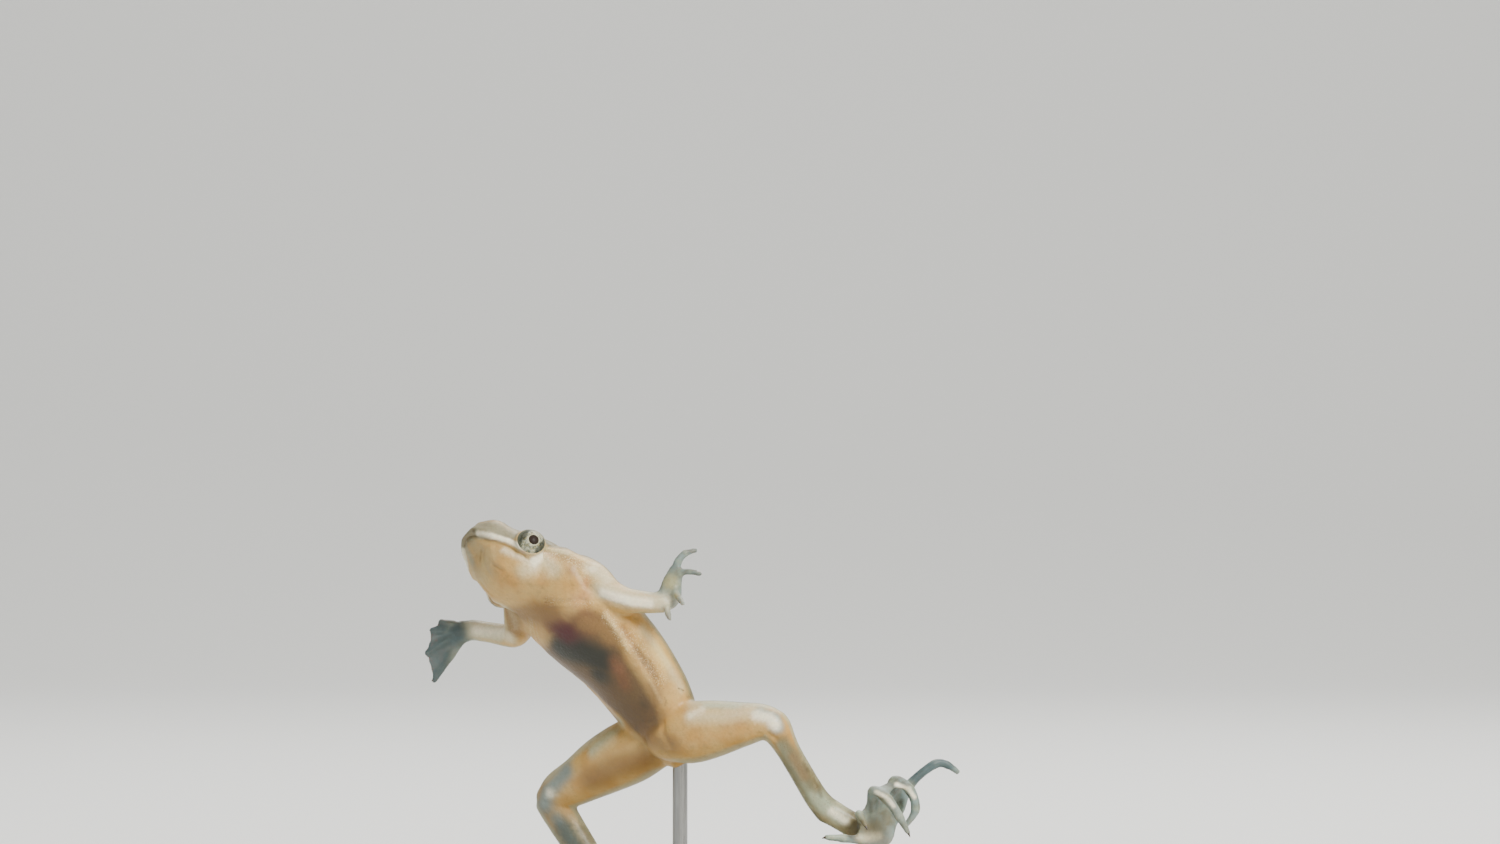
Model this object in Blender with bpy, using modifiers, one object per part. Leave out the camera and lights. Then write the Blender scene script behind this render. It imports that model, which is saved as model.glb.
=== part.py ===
"""African dwarf frog, a life-size swimming model on a plain display stand.

The frog swims up and to the left with its belly turned to the front.
X runs right, Z runs up and Y runs away from the front, and the origin is the
middle of the stand's underside.  Sizes are in millimetres and are made metres
when each piece is finished.
"""

import math

import bmesh
import bpy
import numpy as np
from mathutils import Matrix, Vector

MM = 0.001
GAP = 0.3
BODY_ROLL = 45.0

BASE_RADIUS = 26.0
BASE_HEIGHT = 3.2
BASE_EDGE = 0.5
COLLAR_RADIUS = 2.4
COLLAR_HEIGHT = 2.0
ROD_RADIUS = 0.75
ROD_DEPTH = 0.5
ROD_TOP = 31.8

EYE_RADIUS = 1.6
EYE_STATION = 4.35
EYE_SIDE = 4.0
EYE_DROP = 0.1
SOCKET_RADIUS = 2.05
SOCKET_SINK = 0.3

MOUTH_FRONT = 1.05
MOUTH_CORNER = 1.95
CORNER_STATION = 4.6
NECK_STATION = 5.2
NOSTRIL_STATION = 0.9
NOSTRIL_SIDE = 0.75
NOSTRIL_RISE = 1.25
NOSTRIL_RADIUS = 0.26
LIP_RADIUS = 0.34
LIP_RISE = 0.4
LIP_START = 0.4
LIP_STEPS = 8
JAW_STATION = 4.3
JAW_SIDE = 3.55
JAW_DROP = 1.55
JAW_RADIUS = 0.9

WEB_THICKNESS = 0.55
FOOT_SHARE = 0.7
HIP_SHARE = 0.3
HEAD_SLAB = 14.0
HIP_SLAB = 8.4
KNEE_SLAB = 6.2
ANKLE_SLAB = 3.8
FOOT_SLAB = 4.0
ELBOW_SLAB = 4.4
MOUTH_OVERRUN = 1.5
SHRINK = 0.12
VOXEL = 0.3
BODY_TRIANGLES = 5200
TRUNK_SIDES = 28
LIMB_SIDES = 16
ARM_SIDES = 14
SPINE_STEPS = 20
TIP_LENGTH = 0.6
TIP_NARROWING = 0.45
WEB_STEPS = 4

# Middle of each section from snout to vent, with its half width, its height
# above the middle towards the back and its depth below it towards the belly
TRUNK = [
    (-21.0, 0.0, 53.1, 1.3, 0.9, 0.8),
    (-20.3, 0.0, 52.45, 2.7, 1.75, 1.45),
    (-19.4, 0.0, 51.7, 3.4, 2.1, 1.95),
    (-18.3, 0.0, 50.7, 3.95, 2.4, 2.75),
    (-16.9, 0.0, 49.7, 4.5, 2.75, 3.2),
    (-15.3, 0.0, 48.7, 4.95, 3.1, 3.1),
    (-13.7, 0.0, 47.7, 5.3, 3.2, 3.0),
    (-11.8, 0.0, 46.2, 5.75, 3.6, 3.6),
    (-9.7, 0.0, 44.2, 5.75, 3.9, 3.8),
    (-7.4, 0.0, 42.1, 5.4, 3.9, 3.75),
    (-5.6, 0.0, 40.2, 5.0, 3.8, 3.65),
    (-4.1, 0.0, 38.1, 4.75, 3.7, 3.5),
    (-2.8, 0.0, 35.9, 4.45, 3.6, 3.1),
    (-1.6, 0.0, 33.7, 3.9, 3.2, 2.7),
    (-0.4, 0.0, 31.5, 2.9, 2.5, 2.1),
    (0.5, 0.0, 29.9, 1.2, 1.0, 0.9),
]

# Middle of each section of a limb, with its half height in the plane of the
# front view and its half depth
THIGH_LEFT = [
    (-1.4, -1.2, 33.0, 2.6, 2.2),
    (1.0, -2.4, 33.1, 3.0, 2.4),
    (3.5, -3.4, 33.55, 2.75, 2.3),
    (6.0, -4.4, 34.0, 2.2, 2.0),
    (8.1, -5.2, 34.3, 1.75, 1.6),
    (9.4, -5.6, 34.0, 1.5, 1.4),
]
SHANK_LEFT = [
    (9.6, -5.6, 33.7, 1.45, 1.35),
    (10.7, -5.2, 31.7, 1.1, 1.05),
    (12.15, -4.3, 29.15, 1.05, 1.0),
    (13.6, -3.4, 26.7, 1.1, 1.0),
    (14.75, -2.8, 25.3, 1.2, 1.05),
]
TARSUS_LEFT = [
    (14.75, -2.8, 25.4, 1.2, 1.0),
    (16.1, -2.9, 24.6, 1.15, 0.9),
    (17.6, -3.1, 23.7, 1.25, 0.8),
    (18.6, -3.2, 23.0, 1.25, 0.75),
]
THIGH_RIGHT = [
    (-3.0, 1.2, 31.8, 2.8, 2.3),
    (-5.0, 2.4, 30.9, 3.15, 2.4),
    (-7.7, 4.0, 29.4, 2.9, 2.3),
    (-10.2, 5.4, 27.8, 2.35, 2.0),
    (-12.1, 6.2, 26.7, 2.0, 1.6),
    (-13.1, 6.6, 25.8, 1.6, 1.4),
]
SHANK_RIGHT = [
    (-13.0, 6.6, 25.5, 1.65, 1.35),
    (-11.3, 6.2, 22.8, 1.6, 1.1),
    (-9.4, 5.7, 19.9, 1.45, 1.05),
    (-8.0, 5.2, 17.8, 1.2, 1.0),
    (-7.5, 5.0, 16.9, 1.2, 1.0),
]
TARSUS_RIGHT = [
    (-7.5, 5.0, 17.0, 1.2, 1.0),
    (-7.8, 4.6, 14.9, 1.1, 0.9),
    (-8.3, 4.2, 12.8, 1.2, 0.8),
    (-8.6, 4.0, 11.7, 1.2, 0.75),
]
ARM_LEFT = [
    (-10.0, -1.6, 48.8, 1.9, 1.7),
    (-8.5, -3.0, 48.1, 1.8, 1.6),
    (-6.9, -4.0, 47.0, 1.35, 1.4),
    (-5.4, -4.6, 46.4, 1.15, 1.3),
    (-3.9, -5.0, 46.2, 1.05, 1.1),
    (-1.7, -5.5, 46.1, 0.9, 0.85),
]
ARM_RIGHT = [
    (-14.0, 1.4, 45.3, 1.75, 1.7),
    (-15.8, 2.7, 44.3, 1.55, 1.5),
    (-16.4, 4.0, 42.9, 1.3, 1.25),
    (-17.1, 5.0, 42.4, 1.1, 1.1),
    (-19.2, 5.7, 42.7, 0.95, 0.95),
    (-21.2, 6.0, 43.0, 0.95, 0.75),
]

# Palm or sole of each hand and foot, from the wrist or ankle outward, then
# the joints of each finger or toe as places with a radius
HAND_LEFT = {
    "palm": [(-1.7, -5.5, 46.1, 0.9, 0.8), (-1.0, -5.5, 46.7, 1.2, 0.6), (-0.75, -5.5, 47.9, 1.05, 0.5),
             (-0.3, -5.4, 49.3, 0.75, 0.42)],
    "digits": [
        [(-0.6, -5.5, 48.6, 0.42), (-0.1, -5.4, 50.2, 0.38), (0.6, -5.2, 51.0, 0.33),
         (1.7, -5.0, 51.3, 0.27)],
        [(-0.6, -5.5, 48.3, 0.42), (0.2, -5.8, 49.1, 0.35), (1.2, -6.2, 49.2, 0.3),
         (2.1, -6.6, 49.0, 0.26)],
        [(-0.7, -5.5, 47.4, 0.42), (-0.3, -6.3, 47.0, 0.35), (0.1, -7.2, 46.5, 0.3),
         (0.4, -8.0, 46.1, 0.26)],
        [(-1.2, -5.5, 46.6, 0.42), (-1.2, -6.3, 45.7, 0.35), (-1.1, -7.0, 45.1, 0.3),
         (-0.9, -7.7, 44.6, 0.26)],
    ],
    "web": (0.36, 0.36, 0.36),
    "dip": 0.18,
}
HAND_RIGHT = {
    "palm": [(-21.2, 6.0, 42.9, 0.95, 0.7), (-22.3, 6.0, 42.7, 1.15, 0.5), (-23.1, 6.0, 42.2, 1.0, 0.42)],
    "digits": [
        [(-22.0, 6.0, 43.0, 0.42), (-23.1, 5.9, 43.6, 0.35), (-24.3, 5.8, 43.8, 0.27)],
        [(-22.2, 6.0, 42.8, 0.42), (-23.7, 5.8, 42.9, 0.35), (-25.2, 5.6, 43.0, 0.27)],
        [(-22.2, 6.0, 42.5, 0.42), (-24.0, 5.9, 41.8, 0.35), (-25.7, 5.8, 40.6, 0.27)],
        [(-22.0, 6.0, 42.2, 0.42), (-23.3, 6.2, 40.3, 0.35), (-25.0, 6.3, 37.8, 0.27)],
    ],
    "web": (0.97, 0.97, 0.97),
    "dip": 0.02,
}
FOOT_LEFT = {
    "palm": [(18.0, -3.15, 23.4, 1.25, 0.7), (19.1, -3.3, 22.7, 1.5, 0.6), (20.2, -3.5, 22.9, 1.4, 0.5),
             (20.6, -3.5, 24.5, 1.0, 0.45)],
    "digits": [
        [(19.3, -3.6, 22.3, 0.45), (18.0, -4.7, 22.2, 0.38), (16.2, -5.3, 22.4, 0.34),
         (14.4, -5.8, 22.8, 0.28)],
        [(19.2, -3.6, 22.9, 0.45), (18.4, -4.8, 24.4, 0.42), (18.2, -6.2, 24.9, 0.36),
         (18.1, -7.4, 24.1, 0.3)],
        [(19.6, -3.5, 22.8, 0.5), (19.15, -4.4, 25.4, 0.46), (19.2, -5.4, 27.6, 0.42),
         (20.6, -6.4, 26.8, 0.38),
         (21.7, -6.7, 25.1, 0.33), (22.8, -6.6, 22.9, 0.27)],
        [(20.0, -3.4, 22.9, 0.5), (20.6, -3.8, 25.9, 0.46), (21.3, -4.2, 28.5, 0.42),
         (22.9, -4.6, 27.7, 0.38),
         (23.5, -4.8, 25.7, 0.33), (22.6, -4.8, 23.9, 0.27)],
        [(20.5, -3.3, 22.9, 0.5), (21.9, -2.8, 25.6, 0.46), (23.0, -2.4, 28.0, 0.42),
         (25.4, -1.8, 29.95, 0.37),
         (26.7, -1.6, 29.85, 0.32), (27.7, -1.5, 29.1, 0.27)],
    ],
    "web": (0.5, 0.54, 0.7, 0.58),
    "dip": 0.18,
}
FOOT_RIGHT = {
    "palm": [(-8.4, 4.1, 12.3, 1.15, 0.7), (-8.9, 3.95, 11.0, 1.4, 0.6), (-9.6, 3.85, 10.0, 1.35, 0.5)],
    "digits": [
        [(-8.9, 4.0, 11.2, 0.45), (-10.6, 3.4, 11.0, 0.38), (-12.8, 2.8, 10.7, 0.28)],
        [(-9.1, 4.0, 11.0, 0.45), (-11.6, 3.3, 10.1, 0.42), (-14.6, 2.7, 9.3, 0.3)],
        [(-9.2, 3.9, 10.8, 0.5), (-12.2, 3.4, 8.9, 0.42), (-15.6, 3.1, 7.1, 0.28)],
        [(-9.2, 3.9, 10.7, 0.5), (-11.6, 3.9, 8.2, 0.42), (-14.6, 3.9, 5.5, 0.28)],
        [(-9.0, 3.9, 10.6, 0.5), (-9.8, 4.5, 8.1, 0.42), (-11.2, 5.0, 5.4, 0.28)],
    ],
    "web": (0.88, 0.88, 0.88, 0.88),
    "dip": 0.18,
}


def clear_scene():
    for obj in list(bpy.data.objects):
        bpy.data.objects.remove(obj, do_unlink=True)


def new_collection(name):
    group = bpy.data.collections.new(name)
    bpy.context.scene.collection.children.link(group)
    return group


def finish_material(name, colour, roughness, metallic=0.0):
    material = bpy.data.materials.new(name)
    material.use_nodes = True
    shader = material.node_tree.nodes["Principled BSDF"]
    shader.inputs["Base Color"].default_value = (*colour, 1.0)
    shader.inputs["Roughness"].default_value = roughness
    shader.inputs["Metallic"].default_value = metallic
    return material


def mesh_object(name, mesh, group):
    obj = bpy.data.objects.new(name, mesh)
    group.objects.link(obj)
    return obj


def apply_modifiers(obj):
    """Replace the object's mesh by its evaluated one."""
    bpy.context.view_layer.update()
    depsgraph = bpy.context.evaluated_depsgraph_get()
    mesh = bpy.data.meshes.new_from_object(obj.evaluated_get(depsgraph))
    obj.modifiers.clear()
    old = obj.data
    obj.data = mesh
    bpy.data.meshes.remove(old)
    return obj


def smooth_run(rows, per_span):
    """Rows of numbers read along a smooth curve through the given rows."""
    data = np.array(rows, dtype=float)
    padded = np.vstack([2 * data[0] - data[1], data, 2 * data[-1] - data[-2]])
    out = []
    for i in range(len(data) - 1):
        a, b, c, d = padded[i:i + 4]
        for step in range(per_span):
            t = step / per_span
            out.append(0.5 * (2 * b + (c - a) * t + (2 * a - 5 * b + 4 * c - d) * t * t
                              + (3 * b - a - 3 * c + d) * t ** 3))
    out.append(data[-1])
    return np.array(out)


def row_at(rows, station):
    """The row a fractional number of stations along."""
    fine = smooth_run(rows, SPINE_STEPS)
    return fine[int(round(station * SPINE_STEPS))]


def rounded_ends(rows):
    """Add shrinking rows past both ends, so that a loft closes as a dome."""
    rows = [np.array(row, dtype=float) for row in rows]
    ends = []
    for end, inner in ((rows[0], rows[1]), (rows[-1], rows[-2])):
        out = end[:3] - inner[:3]
        out = out / np.linalg.norm(out)
        reach = end[3:].min()
        caps = []
        for angle in (30, 55, 75):
            cap = end.copy()
            cap[:3] = end[:3] + out * reach * math.sin(math.radians(angle))
            cap[3:] = end[3:] * math.cos(math.radians(angle))
            caps.append(cap)
        ends.append(caps)
    return ends[0][::-1] + rows + ends[1]


def tangents(points):
    steps = np.gradient(points, axis=0)
    return steps / np.linalg.norm(steps, axis=1)[:, None]


def trunk_frame(tangent):
    """The frog's left and belly directions at a place along the body."""
    ahead = -Vector(tangent)
    out = Vector((ahead.z, 0.0, -ahead.x))
    front = Vector((0.0, -1.0, 0.0))
    roll = math.radians(BODY_ROLL)
    left = out * math.cos(roll) + front * math.sin(roll)
    belly = front * math.cos(roll) - out * math.sin(roll)
    return left.normalized(), belly.normalized()


def limb_frame(tangent):
    """Directions across a limb in the plane of the front view and along its depth."""
    depth = Vector((0.0, 1.0, 0.0))
    tangent = Vector(tangent)
    depth = (depth - tangent * depth.dot(tangent)).normalized()
    return tangent.cross(depth).normalized(), depth


def loft(name, rows, group, sides, frame, swell=0.0):
    """A closed body through sections whose upper and lower halves may differ."""
    rows = np.array(rows, dtype=float)
    mesh = bpy.data.meshes.new(name)
    bm = bmesh.new()
    rings = []
    for row, tangent in zip(rows, tangents(rows[:, :3])):
        across, down = frame(tangent)
        centre = Vector(row[:3])
        half = row[3] + swell
        up = row[4] + swell
        low = row[-1] + swell
        ring = []
        for i in range(sides):
            angle = 2 * math.pi * i / sides
            depth = low if math.sin(angle) > 0 else up
            ring.append(bm.verts.new(centre + across * half * math.cos(angle)
                                     + down * depth * math.sin(angle)))
        rings.append(ring)
    for first, second in zip(rings, rings[1:]):
        for i in range(sides):
            j = (i + 1) % sides
            bm.faces.new((first[i], first[j], second[j], second[i]))
    bm.faces.new(rings[0])
    bm.faces.new(rings[-1])
    bmesh.ops.recalc_face_normals(bm, faces=bm.faces)
    bm.to_mesh(mesh)
    bm.free()
    return mesh_object(name, mesh, group)


def trunk_place(station, side=0.0, down=0.0):
    """A point of the trunk by its station, its offset to the left and to the belly."""
    fine = smooth_run(TRUNK, SPINE_STEPS)
    index = int(round(station * SPINE_STEPS))
    left, belly = trunk_frame(tangents(fine[:, :3])[index])
    return Vector(fine[index][:3]) + left * side + belly * down


def tube(name, points, group):
    """A tapered round finger or toe as a closed mesh, from a curve."""
    data = bpy.data.curves.new(name, "CURVE")
    data.dimensions = "3D"
    data.bevel_depth = 1.0
    data.bevel_resolution = 2
    data.use_fill_caps = True
    spline = data.splines.new("POLY")
    rows = smooth_run(points, 2)
    end = rows[-1].copy()
    step = rows[-1][:3] - rows[-2][:3]
    end[:3] += step / np.linalg.norm(step) * rows[-1][3] * TIP_LENGTH
    end[3] *= TIP_NARROWING
    rows = np.vstack([rows, end])
    spline.points.add(len(rows) - 1)
    for point, row in zip(spline.points, rows):
        point.co = (*row[:3], 1.0)
        point.radius = row[3]
    curve = mesh_object(name + "_curve", data, group)
    bpy.context.view_layer.update()
    depsgraph = bpy.context.evaluated_depsgraph_get()
    mesh = bpy.data.meshes.new_from_object(curve.evaluated_get(depsgraph))
    solid = mesh_object(name, mesh, group)
    solid.matrix_world = curve.matrix_world
    bpy.data.objects.remove(curve, do_unlink=True)
    bm = bmesh.new()
    bm.from_mesh(mesh)
    bmesh.ops.remove_doubles(bm, verts=bm.verts, dist=0.001)
    bmesh.ops.recalc_face_normals(bm, faces=bm.faces)
    bm.to_mesh(mesh)
    bm.free()
    return solid


def digit_place(points, share):
    """A point part of the way along a finger or toe."""
    rows = smooth_run(points, 12)[:, :3]
    lengths = np.concatenate([[0.0], np.cumsum(np.linalg.norm(np.diff(rows, axis=0), axis=1))])
    goal = share * lengths[-1]
    return Vector([float(np.interp(goal, lengths, rows[:, k])) for k in range(3)])


def web(name, first, second, share, dip, group):
    """A thin skin between two digits, split alike on both faces."""
    bm = bmesh.new()
    grid = []
    for i in range(WEB_STEPS + 1):
        along = share * i / WEB_STEPS
        a = digit_place(first, along)
        b = digit_place(second, along)
        inner = along * (1 - dip)
        middle = digit_place(first, inner).lerp(digit_place(second, inner), 0.5)
        grid.append([bm.verts.new(p) for p in (a, middle, b)])
    for low, high in zip(grid, grid[1:]):
        for k in range(2):
            bm.faces.new((low[k], low[k + 1], high[k]))
            bm.faces.new((low[k + 1], high[k + 1], high[k]))
    mesh = bpy.data.meshes.new(name)
    bm.to_mesh(mesh)
    bm.free()
    sheet = mesh_object(name, mesh, group)
    thick = sheet.modifiers.new("Thickness", "SOLIDIFY")
    thick.thickness = WEB_THICKNESS
    thick.offset = 0.0
    apply_modifiers(sheet)
    bm = bmesh.new()
    bm.from_mesh(sheet.data)
    bmesh.ops.recalc_face_normals(bm, faces=bm.faces)
    bmesh.ops.triangulate(bm, faces=bm.faces)
    bm.to_mesh(sheet.data)
    bm.free()
    return sheet


def boolean(obj, operation, target=None, group=None, solver="EXACT"):
    cut = obj.modifiers.new("Join", "BOOLEAN")
    cut.operation = operation
    cut.solver = solver
    if group is None:
        cut.object = target
    else:
        cut.operand_type = "COLLECTION"
        cut.collection = group
    return apply_modifiers(obj)


def drop_collection(group):
    for obj in list(group.objects):
        bpy.data.objects.remove(obj, do_unlink=True)
    bpy.data.collections.remove(group)


def loose_pieces(obj):
    """The vertex sets of the object's separate closed surfaces."""
    bm = bmesh.new()
    bm.from_mesh(obj.data)
    seen = set()
    pieces = []
    for start in bm.verts:
        if start.index in seen:
            continue
        stack = [start]
        piece = set()
        while stack:
            vert = stack.pop()
            if vert.index in piece:
                continue
            piece.add(vert.index)
            stack.extend(edge.other_vert(vert) for edge in vert.link_edges)
        seen |= piece
        pieces.append(piece)
    bm.free()
    return pieces


def keep_piece(obj, piece):
    """Keep only one closed surface of the object."""
    bm = bmesh.new()
    bm.from_mesh(obj.data)
    bm.verts.ensure_lookup_table()
    bmesh.ops.delete(bm, geom=[v for v in bm.verts if v.index not in piece], context="VERTS")
    bm.to_mesh(obj.data)
    bm.free()
    return obj


def slab(name, centre, normal, size, group):
    """A thin plate, one gap thick, that parts the body across its normal."""
    bm = bmesh.new()
    bmesh.ops.create_cube(bm, size=1.0)
    mesh = bpy.data.meshes.new(name)
    turn = Vector(normal).to_track_quat("Z", "Y").to_matrix().to_4x4()
    scale = Matrix.Diagonal((size, size, GAP, 1.0))
    bm.transform(Matrix.Translation(centre) @ turn @ scale)
    bm.to_mesh(mesh)
    bm.free()
    obj = mesh_object(name, mesh, group)
    obj.display_type = "WIRE"
    obj.hide_render = True
    return obj


def cut_between(name, first, second, size, group, share=0.5):
    """A slab across the line from one place to another."""
    a = Vector(first[:3])
    b = Vector(second[:3])
    return slab(name, a.lerp(b, share), b - a, size, group)


def cut_bend(name, upper, lower, size, group):
    """A slab through the bend between two parts of a limb."""
    before = (Vector(upper[-1][:3]) - Vector(upper[-3][:3])).normalized()
    after = (Vector(lower[2][:3]) - Vector(lower[0][:3])).normalized()
    return slab(name, Vector(lower[0][:3]), before + after, size, group)


def ball(name, centre, radius, group, segments=24, rings=16):
    bm = bmesh.new()
    bmesh.ops.create_uvsphere(bm, u_segments=segments, v_segments=rings, radius=radius)
    bmesh.ops.translate(bm, verts=bm.verts, vec=centre)
    mesh = bpy.data.meshes.new(name)
    bm.to_mesh(mesh)
    bm.free()
    return mesh_object(name, mesh, group)


def pillar(name, low, high, radius, place, group, segments=32):
    """An upright cylinder between two heights."""
    bm = bmesh.new()
    bmesh.ops.create_cone(bm, cap_ends=True, segments=segments, radius1=radius, radius2=radius,
                          depth=high - low)
    bmesh.ops.translate(bm, verts=bm.verts, vec=(place[0], place[1], (low + high) / 2))
    mesh = bpy.data.meshes.new(name)
    bm.to_mesh(mesh)
    bm.free()
    return mesh_object(name, mesh, group)


def to_metres(obj, material):
    obj.data.transform(Matrix.Scale(MM, 4))
    obj.data.materials.clear()
    obj.data.materials.append(material)
    obj.data.shade_smooth()
    obj.data.set_sharp_from_angle(angle=math.radians(50))


def eye_place(side):
    return trunk_place(EYE_STATION, side * EYE_SIDE, EYE_DROP)


def mouth_drop(station):
    """How far below the trunk's middle the line of the mouth runs."""
    return MOUTH_FRONT + (MOUTH_CORNER - MOUTH_FRONT) * station / CORNER_STATION


def lip_points(side):
    """The ridge of the upper lip, along the trunk's surface above the mouth."""
    points = []
    for i in range(LIP_STEPS + 1):
        station = LIP_START + (CORNER_STATION - LIP_START) * i / LIP_STEPS
        drop = mouth_drop(station) - LIP_RISE
        half, low = row_at(TRUNK, station)[[3, 5]]
        out = half * math.sqrt(1 - (drop / low) ** 2)
        points.append((*trunk_place(station, side * out, drop), LIP_RADIUS * (1.2 - 0.5 * i / LIP_STEPS)))
    return points


def build_core(work):
    """Head, trunk and legs as one smooth body."""
    core = loft("core", smooth_run(TRUNK, 3), work, TRUNK_SIDES, trunk_frame, swell=SHRINK)
    group = bpy.data.collections.new("core_pieces")
    bpy.context.scene.collection.children.link(group)
    limbs = {"thigh_left": THIGH_LEFT, "shank_left": SHANK_LEFT, "tarsus_left": TARSUS_LEFT,
             "thigh_right": THIGH_RIGHT, "shank_right": SHANK_RIGHT, "tarsus_right": TARSUS_RIGHT}
    for name, rows in limbs.items():
        loft(name, smooth_run(rounded_ends(rows), 2), group, LIMB_SIDES, limb_frame, swell=SHRINK)
    for side in (1, -1):
        inward = (trunk_place(EYE_STATION) - eye_place(side)).normalized() * SOCKET_SINK
        ball("socket", eye_place(side) + inward, SOCKET_RADIUS, group)
        ball("jaw_angle", trunk_place(JAW_STATION, side * JAW_SIDE, JAW_DROP), JAW_RADIUS, group, 16, 10)
        tube("lip", lip_points(side), group)
    boolean(core, "UNION", group=group)
    drop_collection(group)
    remesh = core.modifiers.new("Fuse", "REMESH")
    remesh.mode = "VOXEL"
    remesh.voxel_size = VOXEL
    soften = core.modifiers.new("Soften", "SMOOTH")
    soften.factor = 0.5
    soften.iterations = 6
    apply_modifiers(core)
    count = sum(len(face.vertices) - 2 for face in core.data.polygons)
    thin = core.modifiers.new("Thin", "DECIMATE")
    thin.ratio = BODY_TRIANGLES / count
    thin.use_collapse_triangulate = True
    return apply_modifiers(core)


def head_details(core, cutters):
    """Eye cups and nostrils."""
    for side, word in ((1, "left"), (-1, "right")):
        cup = ball("cup_" + word, eye_place(side), EYE_RADIUS + GAP, cutters)
        pit_at = trunk_place(NOSTRIL_STATION, side * NOSTRIL_SIDE, -NOSTRIL_RISE)
        pit = ball("nostril_" + word, pit_at, NOSTRIL_RADIUS, cutters, 8, 6)
        for cutter in (cup, pit):
            cutter.display_type = "WIRE"
            cutter.hide_render = True
            boolean(core, "DIFFERENCE", cutter)


def part_core(core, cutters, parts):
    """Cut the body into its named nodes with thin slabs."""
    group = bpy.data.collections.new("slabs")
    cutters.children.link(group)
    ahead = trunk_place(NECK_STATION - 0.3) - trunk_place(NECK_STATION + 0.3)
    slab("cut_neck", trunk_place(NECK_STATION), ahead, HEAD_SLAB, group)
    for side, thigh, shank, tarsus in (("left", THIGH_LEFT, SHANK_LEFT, TARSUS_LEFT),
                                       ("right", THIGH_RIGHT, SHANK_RIGHT, TARSUS_RIGHT)):
        cut_between("cut_hip_" + side, thigh[1], thigh[2], HIP_SLAB, group, HIP_SHARE)
        cut_bend("cut_knee_" + side, thigh, shank, KNEE_SLAB, group)
        cut_bend("cut_ankle_" + side, shank, tarsus, ANKLE_SLAB, group)
        cut_between("cut_foot_" + side, tarsus[-2], tarsus[-1], FOOT_SLAB, group, FOOT_SHARE)
    boolean(core, "DIFFERENCE", group=group)
    nodes = sort_pieces(core, parts, {
        "head": trunk_place(3.2, down=-1.0),
        "torso": trunk_place(8),
        "thigh_left": THIGH_LEFT[3],
        "shank_left": SHANK_LEFT[2],
        "tarsus_left": TARSUS_LEFT[1],
        "thigh_right": THIGH_RIGHT[3],
        "shank_right": SHANK_RIGHT[2],
        "tarsus_right": TARSUS_RIGHT[1],
    })
    whole_head = nodes.pop("head")
    whole_head.name = "whole_head"
    boolean(whole_head, "DIFFERENCE", mouth_slab(group))
    nodes.update(sort_pieces(whole_head, parts, {
        "head": trunk_place(3.2, down=-1.5),
        "lower_jaw": trunk_place(3.2, down=2.3),
    }))
    return nodes


def mouth_slab(group):
    """The thin plate between the upper and lower jaws, back to the neck."""
    front = trunk_place(0, down=mouth_drop(0))
    back = trunk_place(NECK_STATION, down=mouth_drop(NECK_STATION))
    along = (back - front).normalized()
    left = trunk_frame(tangents(smooth_run(TRUNK, SPINE_STEPS)[:, :3])[2 * SPINE_STEPS])[0]
    across = (left - along * left.dot(along)).normalized()
    turn = Matrix((across, along, across.cross(along))).transposed().to_4x4()
    reach = (back - front).length + 2 * MOUTH_OVERRUN
    lip = slab("cut_mouth", (0, 0, 0), (0, 0, 1), 1.0, group)
    lip.data.transform(Matrix.Translation(front.lerp(back, 0.5)) @ turn
                       @ Matrix.Diagonal((HEAD_SLAB, reach, 1.0, 1.0)))
    return lip


def sort_pieces(obj, parts, marks):
    """Give each mark's name to the closed surface nearest to it, and drop the rest."""
    pieces = loose_pieces(obj)
    corners = np.array([vert.co for vert in obj.data.vertices])
    nodes = {}
    for name, mark in marks.items():
        spot = np.array(mark[:3])
        spread = [np.linalg.norm(corners[list(piece)] - spot, axis=1).min() for piece in pieces]
        node = mesh_object(name, obj.data.copy(), parts)
        nodes[name] = keep_piece(node, pieces[int(np.argmin(spread))])
    bpy.data.objects.remove(obj, do_unlink=True)
    return nodes


def build_arm(side, rows, work, parts, cutters):
    """Upper arm and forearm, trimmed clear of the trunk."""
    arm = loft("arm_" + side, smooth_run(rows, 3), work, ARM_SIDES, limb_frame)
    clear = loft("clear_" + side, smooth_run(TRUNK, 3), cutters, TRUNK_SIDES, trunk_frame, swell=GAP)
    clear.display_type = "WIRE"
    clear.hide_render = True
    boolean(arm, "DIFFERENCE", clear)
    elbow = cut_between("cut_elbow_" + side, rows[2], rows[3], ELBOW_SLAB, cutters)
    boolean(arm, "DIFFERENCE", elbow)
    return sort_pieces(arm, parts, {"upper_arm_" + side: rows[1], "forearm_" + side: rows[4]})


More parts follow.
